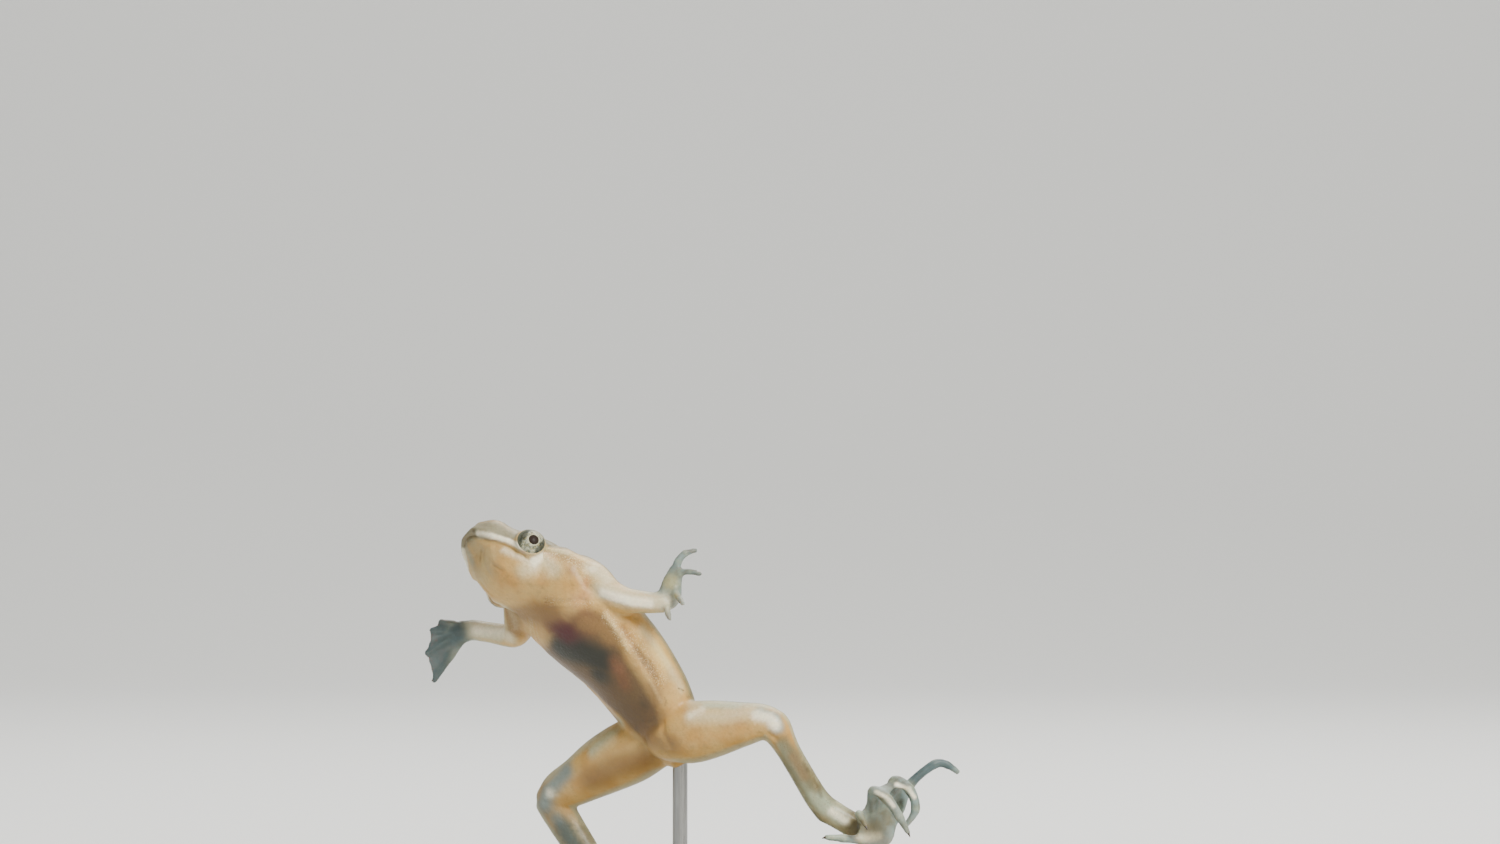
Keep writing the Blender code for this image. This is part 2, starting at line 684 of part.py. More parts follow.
def build_paw(name, shape, limb, share, parts):
    """A hand or foot: palm, digits and the webs between them, as one body."""
    paw = loft(name, smooth_run(shape["palm"], 2), parts, ARM_SIDES, limb_frame)
    group = bpy.data.collections.new(name + "_pieces")
    bpy.context.scene.collection.children.link(group)
    digits = shape["digits"]
    for i, points in enumerate(digits):
        tube(f"{name}_digit_{i + 1}", points, group)
    for i, (first, second, share_here) in enumerate(zip(digits, digits[1:], shape["web"])):
        web(f"{name}_web_{i + 1}", first, second, share_here, shape["dip"], group)
    boolean(paw, "UNION", group=group, solver="MANIFOLD")
    drop_collection(group)
    rows = np.array(limb[-3:], dtype=float)
    rows[-1] = rows[-2] + (rows[-1] - rows[-2]) * share
    ahead = rows[-1][:3] - rows[-2][:3]
    rows[-1][:3] += ahead / np.linalg.norm(ahead) * GAP * (1.0 if share == 1.0 else 0.5)
    guard = loft(name + "_guard", rows, bpy.context.scene.collection, ARM_SIDES, limb_frame, swell=GAP)
    boolean(paw, "DIFFERENCE", guard, solver="MANIFOLD")
    bpy.data.objects.remove(guard, do_unlink=True)
    pieces = loose_pieces(paw)
    return keep_piece(paw, max(pieces, key=len))


def build_stand(parts, cutters):
    base = pillar("stand_base", 0.0, BASE_HEIGHT, BASE_RADIUS, (0, 0), parts, 64)
    edge = base.modifiers.new("Edge", "BEVEL")
    edge.width = BASE_EDGE
    edge.segments = 2
    edge.limit_method = "ANGLE"
    apply_modifiers(base)
    place = (0.0, ROD_DEPTH)
    foot = BASE_HEIGHT + GAP
    collar = pillar("stand_collar", foot, foot + COLLAR_HEIGHT, COLLAR_RADIUS, place, parts)
    bore = pillar("collar_bore", foot - 1, foot + COLLAR_HEIGHT + 1, ROD_RADIUS + GAP, place, cutters)
    bore.display_type = "WIRE"
    bore.hide_render = True
    boolean(collar, "DIFFERENCE", bore)
    rod = pillar("stand_rod", foot, ROD_TOP, ROD_RADIUS, place, parts, 20)
    return {"stand_base": base, "stand_collar": collar, "stand_rod": rod}


def build_model():
    clear_scene()
    parts = new_collection("african_dwarf_frog")
    cutters = new_collection("cutters")
    work = new_collection("work")
    skin = finish_material("frog_skin", (0.62, 0.50, 0.33), 0.42)
    eye = finish_material("frog_eye", (0.08, 0.09, 0.08), 0.12)
    wood = finish_material("stand_wood", (0.05, 0.035, 0.025), 0.4)
    metal = finish_material("stand_metal", (0.55, 0.55, 0.55), 0.3, 1.0)

    core = build_core(work)
    head_details(core, cutters)
    hole = pillar("rod_hole", 0.0, ROD_TOP + GAP, ROD_RADIUS + GAP, (0.0, ROD_DEPTH), cutters, 20)
    hole.display_type = "WIRE"
    hole.hide_render = True
    boolean(core, "DIFFERENCE", hole)
    flesh = part_core(core, cutters, parts)
    flesh.update(build_arm("left", ARM_LEFT, work, parts, cutters))
    flesh.update(build_arm("right", ARM_RIGHT, work, parts, cutters))
    paws = {
        "hand_left": (HAND_LEFT, ARM_LEFT, 1.0),
        "hand_right": (HAND_RIGHT, ARM_RIGHT, 1.0),
        "foot_left": (FOOT_LEFT, TARSUS_LEFT, FOOT_SHARE),
        "foot_right": (FOOT_RIGHT, TARSUS_RIGHT, FOOT_SHARE),
    }
    for name, (shape, limb, share) in paws.items():
        flesh[name] = build_paw(name, shape, limb, share, parts)
    for node in flesh.values():
        to_metres(node, skin)
    for side, word in ((1, "left"), (-1, "right")):
        to_metres(ball("eye_" + word, eye_place(side), EYE_RADIUS, parts), eye)
    for name, node in build_stand(parts, cutters).items():
        to_metres(node, wood if name == "stand_base" else metal)
    for cutter in cutters.all_objects:
        cutter.scale = (MM, MM, MM)
    for leftover in list(work.objects):
        bpy.data.objects.remove(leftover, do_unlink=True)
    bpy.data.collections.remove(work)


build_model()
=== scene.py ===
import math

import bmesh
import bpy
import numpy as np
from mathutils import Matrix, Vector


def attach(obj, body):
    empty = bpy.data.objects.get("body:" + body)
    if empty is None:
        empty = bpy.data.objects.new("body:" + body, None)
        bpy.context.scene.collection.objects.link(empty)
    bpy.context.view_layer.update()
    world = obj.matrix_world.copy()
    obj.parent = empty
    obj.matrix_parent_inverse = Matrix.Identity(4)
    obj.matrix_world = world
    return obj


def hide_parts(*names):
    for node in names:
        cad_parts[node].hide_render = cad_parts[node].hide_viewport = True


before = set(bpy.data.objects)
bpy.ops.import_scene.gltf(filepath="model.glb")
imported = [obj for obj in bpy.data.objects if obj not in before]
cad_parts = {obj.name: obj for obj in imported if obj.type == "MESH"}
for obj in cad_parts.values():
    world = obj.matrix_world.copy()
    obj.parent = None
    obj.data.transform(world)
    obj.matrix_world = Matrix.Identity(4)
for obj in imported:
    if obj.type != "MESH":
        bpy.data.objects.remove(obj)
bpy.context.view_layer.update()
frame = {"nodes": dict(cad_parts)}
print("frame loaded")

mm = 0.001  # shapes are worked out in millimetres and made metres when finished

camera = {"x": 7.0, "distance": 500.0, "height": 64.0, "lens": 120.0}


# Small helpers for shapes

def smoothRun(rows, perSpan):
    # rows read along a smooth curve through the given rows
    data = np.array(rows, dtype=float)
    padded = np.vstack([2 * data[0] - data[1], data, 2 * data[-1] - data[-2]])
    out = []
    for i in range(len(data) - 1):
        a, b, c, d = padded[i:i + 4]
        for step in range(perSpan):
            t = step / perSpan
            out.append(0.5 * (2 * b + (c - a) * t + (2 * a - 5 * b + 4 * c - d) * t * t
                              + (3 * b - a - 3 * c + d) * t ** 3))
    out.append(data[-1])
    return np.array(out)


def directionsOf(points):
    steps = np.gradient(points, axis=0)
    return steps / np.linalg.norm(steps, axis=1)[:, None]


def lengthsOf(points):
    # how far along their line the points lie
    return np.concatenate([[0.0], np.cumsum(np.linalg.norm(np.diff(points, axis=0), axis=1))])


def softStep(low, high, value):
    t = np.clip((value - low) / (high - low), 0, 1)
    return t * t * (3 - 2 * t)


def bell(distance, reach):
    return np.exp(-(distance / reach) ** 2)


def domed(rows):
    # shrinking rows past both ends, so that a sweep closes as a dome
    rows = [np.array(row, dtype=float) for row in rows]
    caps = []
    for end, inner in ((rows[0], rows[1]), (rows[-1], rows[-2])):
        out = end[:3] - inner[:3]
        out = out / np.linalg.norm(out)
        reach = end[3:].min()
        side = []
        for angle in (30, 55, 75):
            cap = end.copy()
            cap[:3] += out * reach * math.sin(math.radians(angle))
            cap[3:] *= math.cos(math.radians(angle))
            side.append(cap)
        caps.append(side)
    return caps[0][::-1] + rows + caps[1]


def limbAxes(tangent):
    # across the limb in the plane of the front view, and along its depth
    tangent = Vector(tangent)
    depth = Vector((0.0, 1.0, 0.0))
    depth = (depth - tangent * depth.dot(tangent)).normalized()
    return tangent.cross(depth).normalized(), depth


def sectionPlace(row, tangent, axes, swell):
    # a unit circle's place as a section of the sweep
    across, down = axes(tangent)
    centre = Vector(row[:3]) + down * (row[-1] - row[4]) / 2
    depth = (row[4] + row[-1]) / 2 + swell
    columns = (across * (row[3] + swell), down * depth, Vector(tangent), centre)
    place = Matrix.Identity(4)
    for k, column in enumerate(columns):
        for i in range(3):
            place[i][k] = column[i]
    return place


def addSweep(bm, rows, sides, axes, swell=0.0):
    # a closed form through oval sections, drawn out ring by ring
    rows = np.array(rows)
    places = [sectionPlace(row, way, axes, swell) for row, way in zip(rows, directionsOf(rows[:, :3]))]
    ring = bmesh.ops.create_circle(bm, cap_ends=True, segments=sides, radius=1.0)["verts"]
    edges = list({edge for vert in ring for edge in vert.link_edges})
    bmesh.ops.transform(bm, matrix=places[0], verts=ring)
    for before, after in zip(places, places[1:]):
        grown = bmesh.ops.extrude_edge_only(bm, edges=edges)["geom"]
        ring = [item for item in grown if isinstance(item, bmesh.types.BMVert)]
        edges = [item for item in grown if isinstance(item, bmesh.types.BMEdge)]
        bmesh.ops.transform(bm, matrix=after @ before.inverted(), verts=ring)
    bmesh.ops.edgeloop_fill(bm, edges=edges)


def addBall(bm, centre, radius):
    place = Matrix.Translation(centre) @ Matrix.Scale(radius, 4)
    bmesh.ops.create_uvsphere(bm, u_segments=28, v_segments=18, radius=1.0, matrix=place)


def meshPiece(name, bm):
    mesh = bpy.data.meshes.new(name)
    bm.to_mesh(mesh)
    bm.free()
    piece = bpy.data.objects.new(name, mesh)
    bpy.context.scene.collection.objects.link(piece)
    return piece


def applyModifiers(piece):
    bpy.context.view_layer.update()
    shaped = piece.evaluated_get(bpy.context.evaluated_depsgraph_get())
    mesh = bpy.data.meshes.new_from_object(shaped)
    piece.modifiers.clear()
    old = piece.data
    piece.data = mesh
    bpy.data.meshes.remove(old)


def readRows(items, name, width=3, kind=float):
    # what every vertex or edge of a mesh holds under a name, as rows
    out = np.zeros(len(items) * width, dtype=kind)
    items.foreach_get(name, out)
    return out.reshape(-1, width)


def layAttribute(piece, name, values):
    layer = piece.data.attributes.new(name, "FLOAT", "POINT")
    layer.data.foreach_set("value", np.clip(values, 0, 1).astype(np.float32))


def relaxed(co, pairs, weight, times):
    # each vertex moves part of the way to the middle of its neighbours
    a, b = pairs.T
    count = np.bincount(np.concatenate([a, b]), minlength=len(co))[:, None]
    weight = np.broadcast_to(weight, len(co))[:, None]
    for _ in range(times):
        total = np.stack([np.bincount(a, co[b, k], len(co)) + np.bincount(b, co[a, k], len(co))
                          for k in range(3)], axis=1)
        co = co + (total / count - co) * weight
    return co


# The frog's forms

# from snout to vent: middle x, y, z, half width, height to the back and depth to the belly
trunkForm = {
    "roll": 45.0,
    "sides": 48,
    "rows": [
        (-21.0, 0.0, 53.1, 1.3, 0.9, 0.8),
        (-20.3, 0.0, 52.45, 2.7, 1.75, 1.45),
        (-19.4, 0.0, 51.7, 3.4, 2.1, 1.95),
        (-18.3, 0.0, 50.7, 3.95, 2.4, 2.75),
        (-16.9, 0.0, 49.7, 4.5, 2.75, 3.2),
        (-15.3, 0.0, 48.7, 4.95, 3.1, 3.1),
        (-13.7, 0.0, 47.7, 5.3, 3.2, 3.0),
        (-11.8, 0.0, 46.2, 5.75, 3.6, 3.6),
        (-9.7, 0.0, 44.2, 5.75, 3.9, 3.8),
        (-7.4, 0.0, 42.1, 5.4, 3.9, 3.75),
        (-5.6, 0.0, 40.2, 5.0, 3.8, 3.65),
        (-4.1, 0.0, 38.1, 4.75, 3.7, 3.5),
        (-2.8, 0.0, 35.9, 4.45, 3.6, 3.1),
        (-1.6, 0.0, 33.7, 3.9, 3.2, 2.7),
        (-0.4, 0.0, 31.5, 2.9, 2.5, 2.1),
        (0.5, 0.0, 29.9, 1.2, 1.0, 0.9),
    ],
}

# middle x, y, z of each section of a limb, its half height as seen from the front and its half depth
legForms = {
    "left": {
        "thigh": [(-1.4, -1.2, 33, 2.6, 2.2), (1, -2.4, 33.1, 3, 2.4), (3.5, -3.4, 33.55, 2.75, 2.3),
                  (6, -4.4, 34, 2.2, 2), (8.1, -5.2, 34.3, 1.75, 1.6), (9.4, -5.6, 34, 1.5, 1.4)],
        "shank": [(9.6, -5.6, 33.7, 1.45, 1.35), (10.7, -5.2, 31.7, 1.1, 1.05),
                  (12.15, -4.3, 29.15, 1.05, 1), (13.6, -3.4, 26.7, 1.1, 1), (14.75, -2.8, 25.3, 1.2, 1.05)],
        "tarsus": [(14.75, -2.8, 25.4, 1.2, 1), (16.1, -2.9, 24.6, 1.15, 0.9), (17.6, -3.1, 23.7, 1.2, 0.8),
                   (18.6, -3.2, 23, 1.2, 0.75)],
        "backSign": 1.0,
    },
    "right": {
        "thigh": [(-3, 1.2, 31.8, 2.8, 2.3), (-5, 2.4, 30.9, 3.15, 2.4), (-7.7, 4, 29.4, 2.9, 2.3),
                  (-10.2, 5.4, 27.8, 2.35, 2), (-12.1, 6.2, 26.7, 2, 1.6), (-13.1, 6.6, 25.8, 1.6, 1.4)],
        "shank": [(-13, 6.6, 25.5, 1.65, 1.35), (-11.3, 6.2, 22.8, 1.6, 1.1), (-9.4, 5.7, 19.9, 1.45, 1.05),
                  (-8, 5.2, 17.8, 1.2, 1), (-7.5, 5, 16.9, 1.2, 1)],
        "tarsus": [(-7.5, 5, 17, 1.2, 1), (-7.8, 4.6, 14.9, 1.1, 0.9), (-8.3, 4.2, 12.8, 1.2, 0.8),
                   (-8.6, 4, 11.7, 1.2, 0.75)],
        "backSign": -1.0,
    },
}
armForms = {
    "left": [(-10.0, -1.6, 48.8, 1.9, 1.7), (-8.5, -3.0, 48.1, 1.8, 1.6), (-6.9, -4.0, 47.0, 1.35, 1.4),
             (-5.4, -4.6, 46.4, 1.15, 1.3), (-3.9, -5.0, 46.2, 1.05, 1.1), (-1.7, -5.5, 46.1, 0.9, 0.85)],
    "right": [(-14.0, 1.4, 45.3, 1.75, 1.7), (-15.8, 2.7, 44.3, 1.55, 1.5), (-16.4, 4.0, 42.9, 1.3, 1.25),
              (-17.1, 5.0, 42.4, 1.1, 1.1), (-19.2, 5.7, 42.7, 0.95, 0.95), (-21.2, 6.0, 43.0, 0.95, 0.75)],
}

# palm or sole from wrist or ankle outward, the joints of each digit with its radius there, how far the
# web reaches along the digits, and how deep its free edge dips between them
pawForms = {
    "handLeft": {
        "palm": [(-1.7, -5.5, 46.1, 0.9, 0.8), (-1, -5.5, 46.7, 1.15, 0.6), (-0.75, -5.5, 47.9, 1, 0.5),
                 (-0.3, -5.4, 49.3, 0.7, 0.42)],
        "digits": [
            [(-0.6, -5.5, 48.6, 0.4), (-0.1, -5.4, 50.2, 0.35), (0.6, -5.2, 51, 0.3), (1.7, -5, 51.3, 0.2)],
            [(-0.6, -5.5, 48.3, 0.4), (0.2, -5.8, 49.1, 0.32), (1.2, -6.2, 49.2, 0.27),
             (2.1, -6.6, 49, 0.2)],
            [(-0.7, -5.5, 47.4, 0.4), (-0.3, -6.3, 47, 0.32), (0.1, -7.2, 46.5, 0.27), (0.4, -8, 46.1, 0.2)],
            [(-1.2, -5.5, 46.6, 0.4), (-1.2, -6.3, 45.7, 0.32), (-1.1, -7, 45.1, 0.27),
             (-0.9, -7.7, 44.6, 0.2)],
        ],
        "web": (0.36, 0.36, 0.36), "dip": 0.2,
    },
    "handRight": {
        "palm": [(-21.2, 6, 42.9, 0.95, 0.7), (-22.3, 6, 42.7, 1.15, 0.5), (-23.1, 6, 42.2, 1, 0.42)],
        "digits": [
            [(-22, 6, 43, 0.4), (-23.1, 5.9, 43.6, 0.32), (-24.3, 5.8, 43.8, 0.26)],
            [(-22.2, 6, 42.8, 0.4), (-23.7, 5.8, 42.9, 0.32), (-25.2, 5.6, 43, 0.26)],
            [(-22.2, 6, 42.5, 0.4), (-24, 5.9, 41.8, 0.32), (-25.7, 5.8, 40.6, 0.26)],
            [(-22, 6, 42.2, 0.4), (-23.3, 6.2, 40.3, 0.34), (-25, 6.3, 37.8, 0.26)],
        ],
        "web": (1.0, 1.0, 1.0), "dip": -0.1,
    },
    "footLeft": {
        "palm": [(18, -3.15, 23.4, 1.2, 0.7), (19.1, -3.3, 22.8, 1.4, 0.55), (20.1, -3.5, 23, 1.2, 0.45),
                 (20.6, -3.5, 24.5, 0.95, 0.4)],
        "digits": [
            [(19.3, -3.6, 22.5, 0.45), (18, -4.7, 22.6, 0.4), (16.2, -5.3, 22.8, 0.36),
             (14.5, -5.8, 22.95, 0.24)],
            [(19.2, -3.6, 22.9, 0.45), (18, -4.8, 24.8, 0.42), (17.8, -6.2, 25.2, 0.38),
             (18.4, -7.3, 24.2, 0.24)],
            [(19.6, -3.5, 22.8, 0.5), (19.15, -4.4, 25.4, 0.46), (19.2, -5.4, 27.5, 0.46),
             (20.6, -6.4, 26.7, 0.46), (21.7, -6.7, 25.1, 0.4), (22.6, -6.6, 23.5, 0.22)],
            [(20, -3.4, 22.9, 0.5), (20.6, -3.8, 25.9, 0.46), (21.3, -4.2, 28.4, 0.46),
             (22.8, -4.6, 27.6, 0.46), (23.4, -4.8, 25.7, 0.4), (22.5, -4.8, 24.1, 0.24)],
            [(20.5, -3.3, 22.9, 0.5), (21.9, -2.8, 25.6, 0.45), (23, -2.4, 28, 0.42),
             (25.4, -1.8, 29.9, 0.4), (26.7, -1.6, 29.8, 0.34), (27.7, -1.5, 29.1, 0.25)],
        ],
        "web": (0.5, 0.54, 0.7, 0.58), "dip": 0.16,
    },
    "footRight": {
        "palm": [(-8.4, 4.1, 12.3, 1.15, 0.7), (-8.9, 3.95, 11, 1.35, 0.5), (-9.6, 3.85, 10, 1.3, 0.45)],
        "digits": [
            [(-8.9, 4, 11.2, 0.42), (-10.6, 3.4, 11, 0.34), (-12.8, 2.8, 10.7, 0.22)],
            [(-9.1, 4, 11, 0.42), (-11.6, 3.3, 10.1, 0.38), (-14.6, 2.7, 9.3, 0.22)],
            [(-9.2, 3.9, 10.8, 0.45), (-12.2, 3.4, 8.9, 0.38), (-15.6, 3.1, 7.1, 0.22)],
            [(-9.2, 3.9, 10.7, 0.45), (-11.6, 3.9, 8.2, 0.38), (-14.6, 3.9, 5.5, 0.22)],
            [(-9, 3.9, 10.6, 0.45), (-9.8, 4.5, 8.1, 0.38), (-11.2, 5, 5.4, 0.22)],
        ],
        "web": (0.88, 0.88, 0.88, 0.88), "dip": 0.14,
    },
}
webThickness = 0.34
knuckle = {"swell": 0.16, "length": 0.16}  # how much thicker a joint is, and over what part of a span

headForm = {
    "eyeStation": 4.35, "eyeSide": 4.0, "eyeDown": 0.1, "eyeRadius": 1.6,
    "facing": (1.0, 0.12, 0.1),  # how far the socket faces to the side, to the belly and ahead
    "gaze": (1.0, 0.26, -0.05),  # the same for the eye in it
    "socketRadius": 1.85, "socketSink": 0.25,
    "jawStation": 4.3, "jawSide": 3.5, "jawDown": 1.5, "jawRadius": 0.85,
    "nostrilStation": 0.9, "nostrilSide": 0.75, "nostrilDown": -1.25, "nostrilRadius": 0.3,
    "nostrilDepth": 0.2,
}

# the mouth's line as station and how far down, where it ends, and each lip's place, reach and rise
mouthForm = {
    "run": [(0.0, 0.95), (0.6, 1.15), (1.0, 1.27), (2.0, 1.46), (3.2, 1.63), (4.0, 1.8), (4.8, 2.0)],
    "end": (4.35, 4.95), "width": 0.13, "depth": 0.24, "tint": 0.17,
    "lips": [(-0.42, 0.26, 0.13), (0.33, 0.22, 0.07)],
}

# the lids' rim, with its angles from the middle of each socket in degrees and the rest in millimetres
lidForm = {"angle": 62.0, "thickness": 0.05, "under": 0.14, "slope": (-5, 2), "hold": (10, 52),
           "reach": 2.2, "tint": 7, "tintReach": 1.5}


def trunkAxes(tangent):
    # the frog's left and its belly side at a place along the body
    ahead = -Vector(tangent)
    out = Vector((ahead.z, 0.0, -ahead.x))
    front = Vector((0.0, -1.0, 0.0))
    roll = math.radians(trunkForm["roll"])
    left = out * math.cos(roll) + front * math.sin(roll)
    belly = front * math.cos(roll) - out * math.sin(roll)
    return left.normalized(), belly.normalized()


class Spine:
    # the middle line of a form, to read any place by how far along, across and down it lies
    def __init__(self, rows, perSpan, axes):
        self.perSpan = perSpan
        self.rows = smoothRun(rows, perSpan)
        self.ways = directionsOf(self.rows[:, :3])
        frames = [axes(way) for way in self.ways]
        self.across = np.array([frame[0] for frame in frames])
        self.down = np.array([frame[1] for frame in frames])
        self.lengths = lengthsOf(self.rows[:, :3])

    def read(self, co):
        # station, and millimetres along, across and down, with the form's own half sizes there
        middles = self.rows[:, :3]
        index = np.zeros(len(co), dtype=int)
        for start in range(0, len(co), 20000):
            part = co[start:start + 20000]
            far = (part ** 2).sum(1)[:, None] - 2 * part @ middles.T + (middles ** 2).sum(1)
            index[start:start + 20000] = far.argmin(1)
        away = co - middles[index]
        along = (away * self.ways[index]).sum(1)
        return {"station": index / self.perSpan,
                "place": np.stack([self.lengths[index] + along, (away * self.across[index]).sum(1),
                                   (away * self.down[index]).sum(1)], axis=1),
                "half": self.rows[index][:, 3], "deep": self.rows[index][:, 4],
                "far": np.linalg.norm(away, axis=1)}

    def at(self, station, across=0.0, down=0.0):
        i = int(round(station * self.perSpan))
        return Vector(self.rows[i][:3] + self.across[i] * across + self.down[i] * down)


trunk = Spine(trunkForm["rows"], 24, trunkAxes)
eyeIndex = int(round(headForm["eyeStation"] * trunk.perSpan))


def eyePlace(side):
    return trunk.at(headForm["eyeStation"], side * headForm["eyeSide"], headForm["eyeDown"])


def eyeWay(side, name):
    toSide, toBelly, ahead = headForm[name]
    return Vector(trunk.across[eyeIndex] * side * toSide + trunk.down[eyeIndex] * toBelly
                  - trunk.ways[eyeIndex] * ahead).normalized()


def mouthDown(station):
    # how far below the middle of the head the line of the mouth runs
    stations, downs = zip(*mouthForm["run"])
    return np.interp(station, stations, downs)


def digitRows(points):
    rows = smoothRun([(*point, point[3]) for point in points], 8)
    for joint in range(1, len(points) - 1):
        spans = (np.arange(len(rows)) / 8 - joint) / knuckle["length"]
        rows[:, 3:] *= (1 + knuckle["swell"] * np.exp(-spans ** 2))[:, None]
    return domed(rows)


def digitPlace(rows, lengths, share):
    goal = share * lengths[-1]
    return Vector([float(np.interp(goal, lengths, rows[:, k])) for k in range(3)])


def addWeb(bm, first, second, share, dip):
    # a thin sheet between two digits, with its free edge dipping between them
    lines = []
    for points in (first, second):
        rows = smoothRun(points, 12)[:, :3]
        lines.append((rows, lengthsOf(rows)))
    grid = bmesh.ops.create_grid(bm, x_segments=8, y_segments=16, size=1.0)["verts"]
    for vert in grid:
        u = (vert.co.x + 1) / 2
        v = (vert.co.y + 1) / 2
        along = share * v * (1 - dip * 4 * u * (1 - u))
        vert.co = digitPlace(*lines[0], along).lerp(digitPlace(*lines[1], along), u)
    middle = np.array([vert.co for vert in grid])
    faces = list({face for vert in grid for face in vert.link_faces})
    for face in faces:
        face.normal_update()
    for vert in grid:
        vert.normal_update()
    for vert in grid:
        vert.co = vert.co + vert.normal * webThickness / 2
    bmesh.ops.solidify(bm, geom=faces, thickness=webThickness)
    return middle


# the forms are swelled by what smoothing takes off them again
fuseForm = {"voxel": 0.19, "relax": 6, "pawRelax": 3, "swell": 0.12, "pawSwell": 0.06,
            "pawReach": 11.0, "pawNear": 1.0, "limbSides": 24, "palmSides": 20, "digitSides": 14}

body = bmesh.new()
addSweep(body, smoothRun(trunkForm["rows"], 6), trunkForm["sides"], trunkAxes, fuseForm["swell"])
for form in legForms.values():
    for part in ("thigh", "shank", "tarsus"):
        addSweep(body, smoothRun(domed(form[part]), 4), fuseForm["limbSides"], limbAxes, fuseForm["swell"])
for rows in armForms.values():
    addSweep(body, smoothRun(domed(rows), 4), fuseForm["limbSides"], limbAxes, fuseForm["swell"])
for side in (1, -1):
    sink = eyeWay(side, "facing") * headForm["socketSink"]
    addBall(body, eyePlace(side) - sink, headForm["socketRadius"])
    addBall(body, trunk.at(headForm["jawStation"], side * headForm["jawSide"], headForm["jawDown"]),
            headForm["jawRadius"])
pawLines = {}
for name, form in pawForms.items():
    palm = smoothRun(domed(form["palm"]), 4)
    addSweep(body, palm, fuseForm["palmSides"], limbAxes, fuseForm["pawSwell"])
    for points in form["digits"]:
        addSweep(body, digitRows(points), fuseForm["digitSides"], limbAxes, fuseForm["pawSwell"])
    sheets = [addWeb(body, first, second, share, form["dip"])
              for first, second, share in zip(form["digits"], form["digits"][1:], form["web"])]
    pawLines[name] = {"sheets": np.concatenate(sheets),
                      "digits": [smoothRun(points, 10) for points in form["digits"]],
                      "palm": Spine(form["palm"], 8, limbAxes)}
skin = meshPiece("skin", body)
fuse = skin.modifiers.new("Fuse", "REMESH")
fuse.mode = "VOXEL"
fuse.voxel_size = fuseForm["voxel"]
applyModifiers(skin)
print("skin fused:", len(skin.data.polygons), "faces")

pairs = readRows(skin.data.edges, "vertices", 2, int)
co = readRows(skin.data.vertices, "co")
inPaw = np.zeros(len(co), dtype=bool)
for lines in pawLines.values():
    joints = np.concatenate([rows[::3, :3] for rows in lines["digits"]] + [lines["sheets"][::4]])
    near = np.where(np.linalg.norm(co - joints.mean(0), axis=1) < fuseForm["pawReach"])[0]
    far = np.linalg.norm(co[near][:, None, :] - joints[None, :, :], axis=2).min(1)
    inPaw[near[far < fuseForm["pawNear"]]] = True
co = relaxed(co, pairs, 0.5, fuseForm["pawRelax"])
co = relaxed(co, pairs, np.where(inPaw, 0.0, 0.5), fuseForm["relax"] - fuseForm["pawRelax"])
skin.data.vertices.foreach_set("co", co.ravel())

# the head is drawn finer than the rest
headReach = {"station": 5.0, "far": 7.0}


def inHead(spot):
    return (spot["station"] < headReach["station"]) & (spot["far"] < headReach["far"])


isHead = inHead(trunk.read(co))
fine = bmesh.new()
fine.from_mesh(skin.data)
fine.edges.ensure_lookup_table()
chosen = [edge for edge in fine.edges if isHead[edge.verts[0].index] and isHead[edge.verts[1].index]]
bmesh.ops.subdivide_edges(fine, edges=chosen, cuts=1, use_grid_fill=True)
fine.to_mesh(skin.data)
fine.free()
pairs = readRows(skin.data.edges, "vertices", 2, int)
co = readRows(skin.data.vertices, "co")
isHead = inHead(trunk.read(co))
co = relaxed(co, pairs, isHead * 0.5, 4)
skin.data.vertices.foreach_set("co", co.ravel())
skin.data.update()
normals = readRows(skin.data.vertices, "normal")
spot = trunk.read(co)
station = spot["station"]
trunkAt = spot["place"]
print("head refined:", len(skin.data.polygons), "faces")

# where each vertex is seen in the front picture, as x and z in its plane
nearer = camera["distance"] / (camera["distance"] + co[:, 1])
seen = np.stack([camera["x"] + (co[:, 0] - camera["x"]) * nearer,
                 camera["height"] + (co[:, 2] - camera["height"]) * nearer], axis=1)


def frontVertex(x, z):
    # the vertex that the front picture shows at that place
    away = np.hypot(seen[:, 0] - x, seen[:, 1] - z)
    near = np.where(away < max(0.35, away.min() + 0.05))[0]
    return near[np.argmin(co[near, 1])]


def lineDistance(points, places):
    # how far each of the places lies from the line through the points
    points = np.array(points, dtype=float)
    if len(points) == 1:
        return np.linalg.norm(places - points[0], axis=1)
    best = np.full(len(places), np.inf)
    for a, b in zip(points, points[1:]):
        way = b - a
        share = np.clip((places - a) @ way / max(way @ way, 1e-9), 0, 1)
        best = np.minimum(best, np.linalg.norm(places - (a + share[:, None] * way), axis=1))
    return best


def mark(places, reach, both):
    # how strongly a mark lies on each vertex; one on both sides is mirrored across the body
    found = [frontVertex(x, z) for x, z in places]
    if not both:
        return bell(lineDistance(co[found], co), reach)
    here = trunkAt[found]
    there = here * np.array([1, -1, 1])
    return np.maximum(bell(lineDistance(here, trunkAt), reach), bell(lineDistance(there, trunkAt), reach))


ridgeTop = [(-7.3, 44.6), (-5.7, 42.5), (-4.9, 41.2)]
ridgeLow = [(-4.5, 41), (-3.6, 39.2), (-2.5, 37.3), (-1.9, 35.7)]
flankGroove = [(-5.4, 43.4), (-3.9, 41), (-2.5, 39.2)]

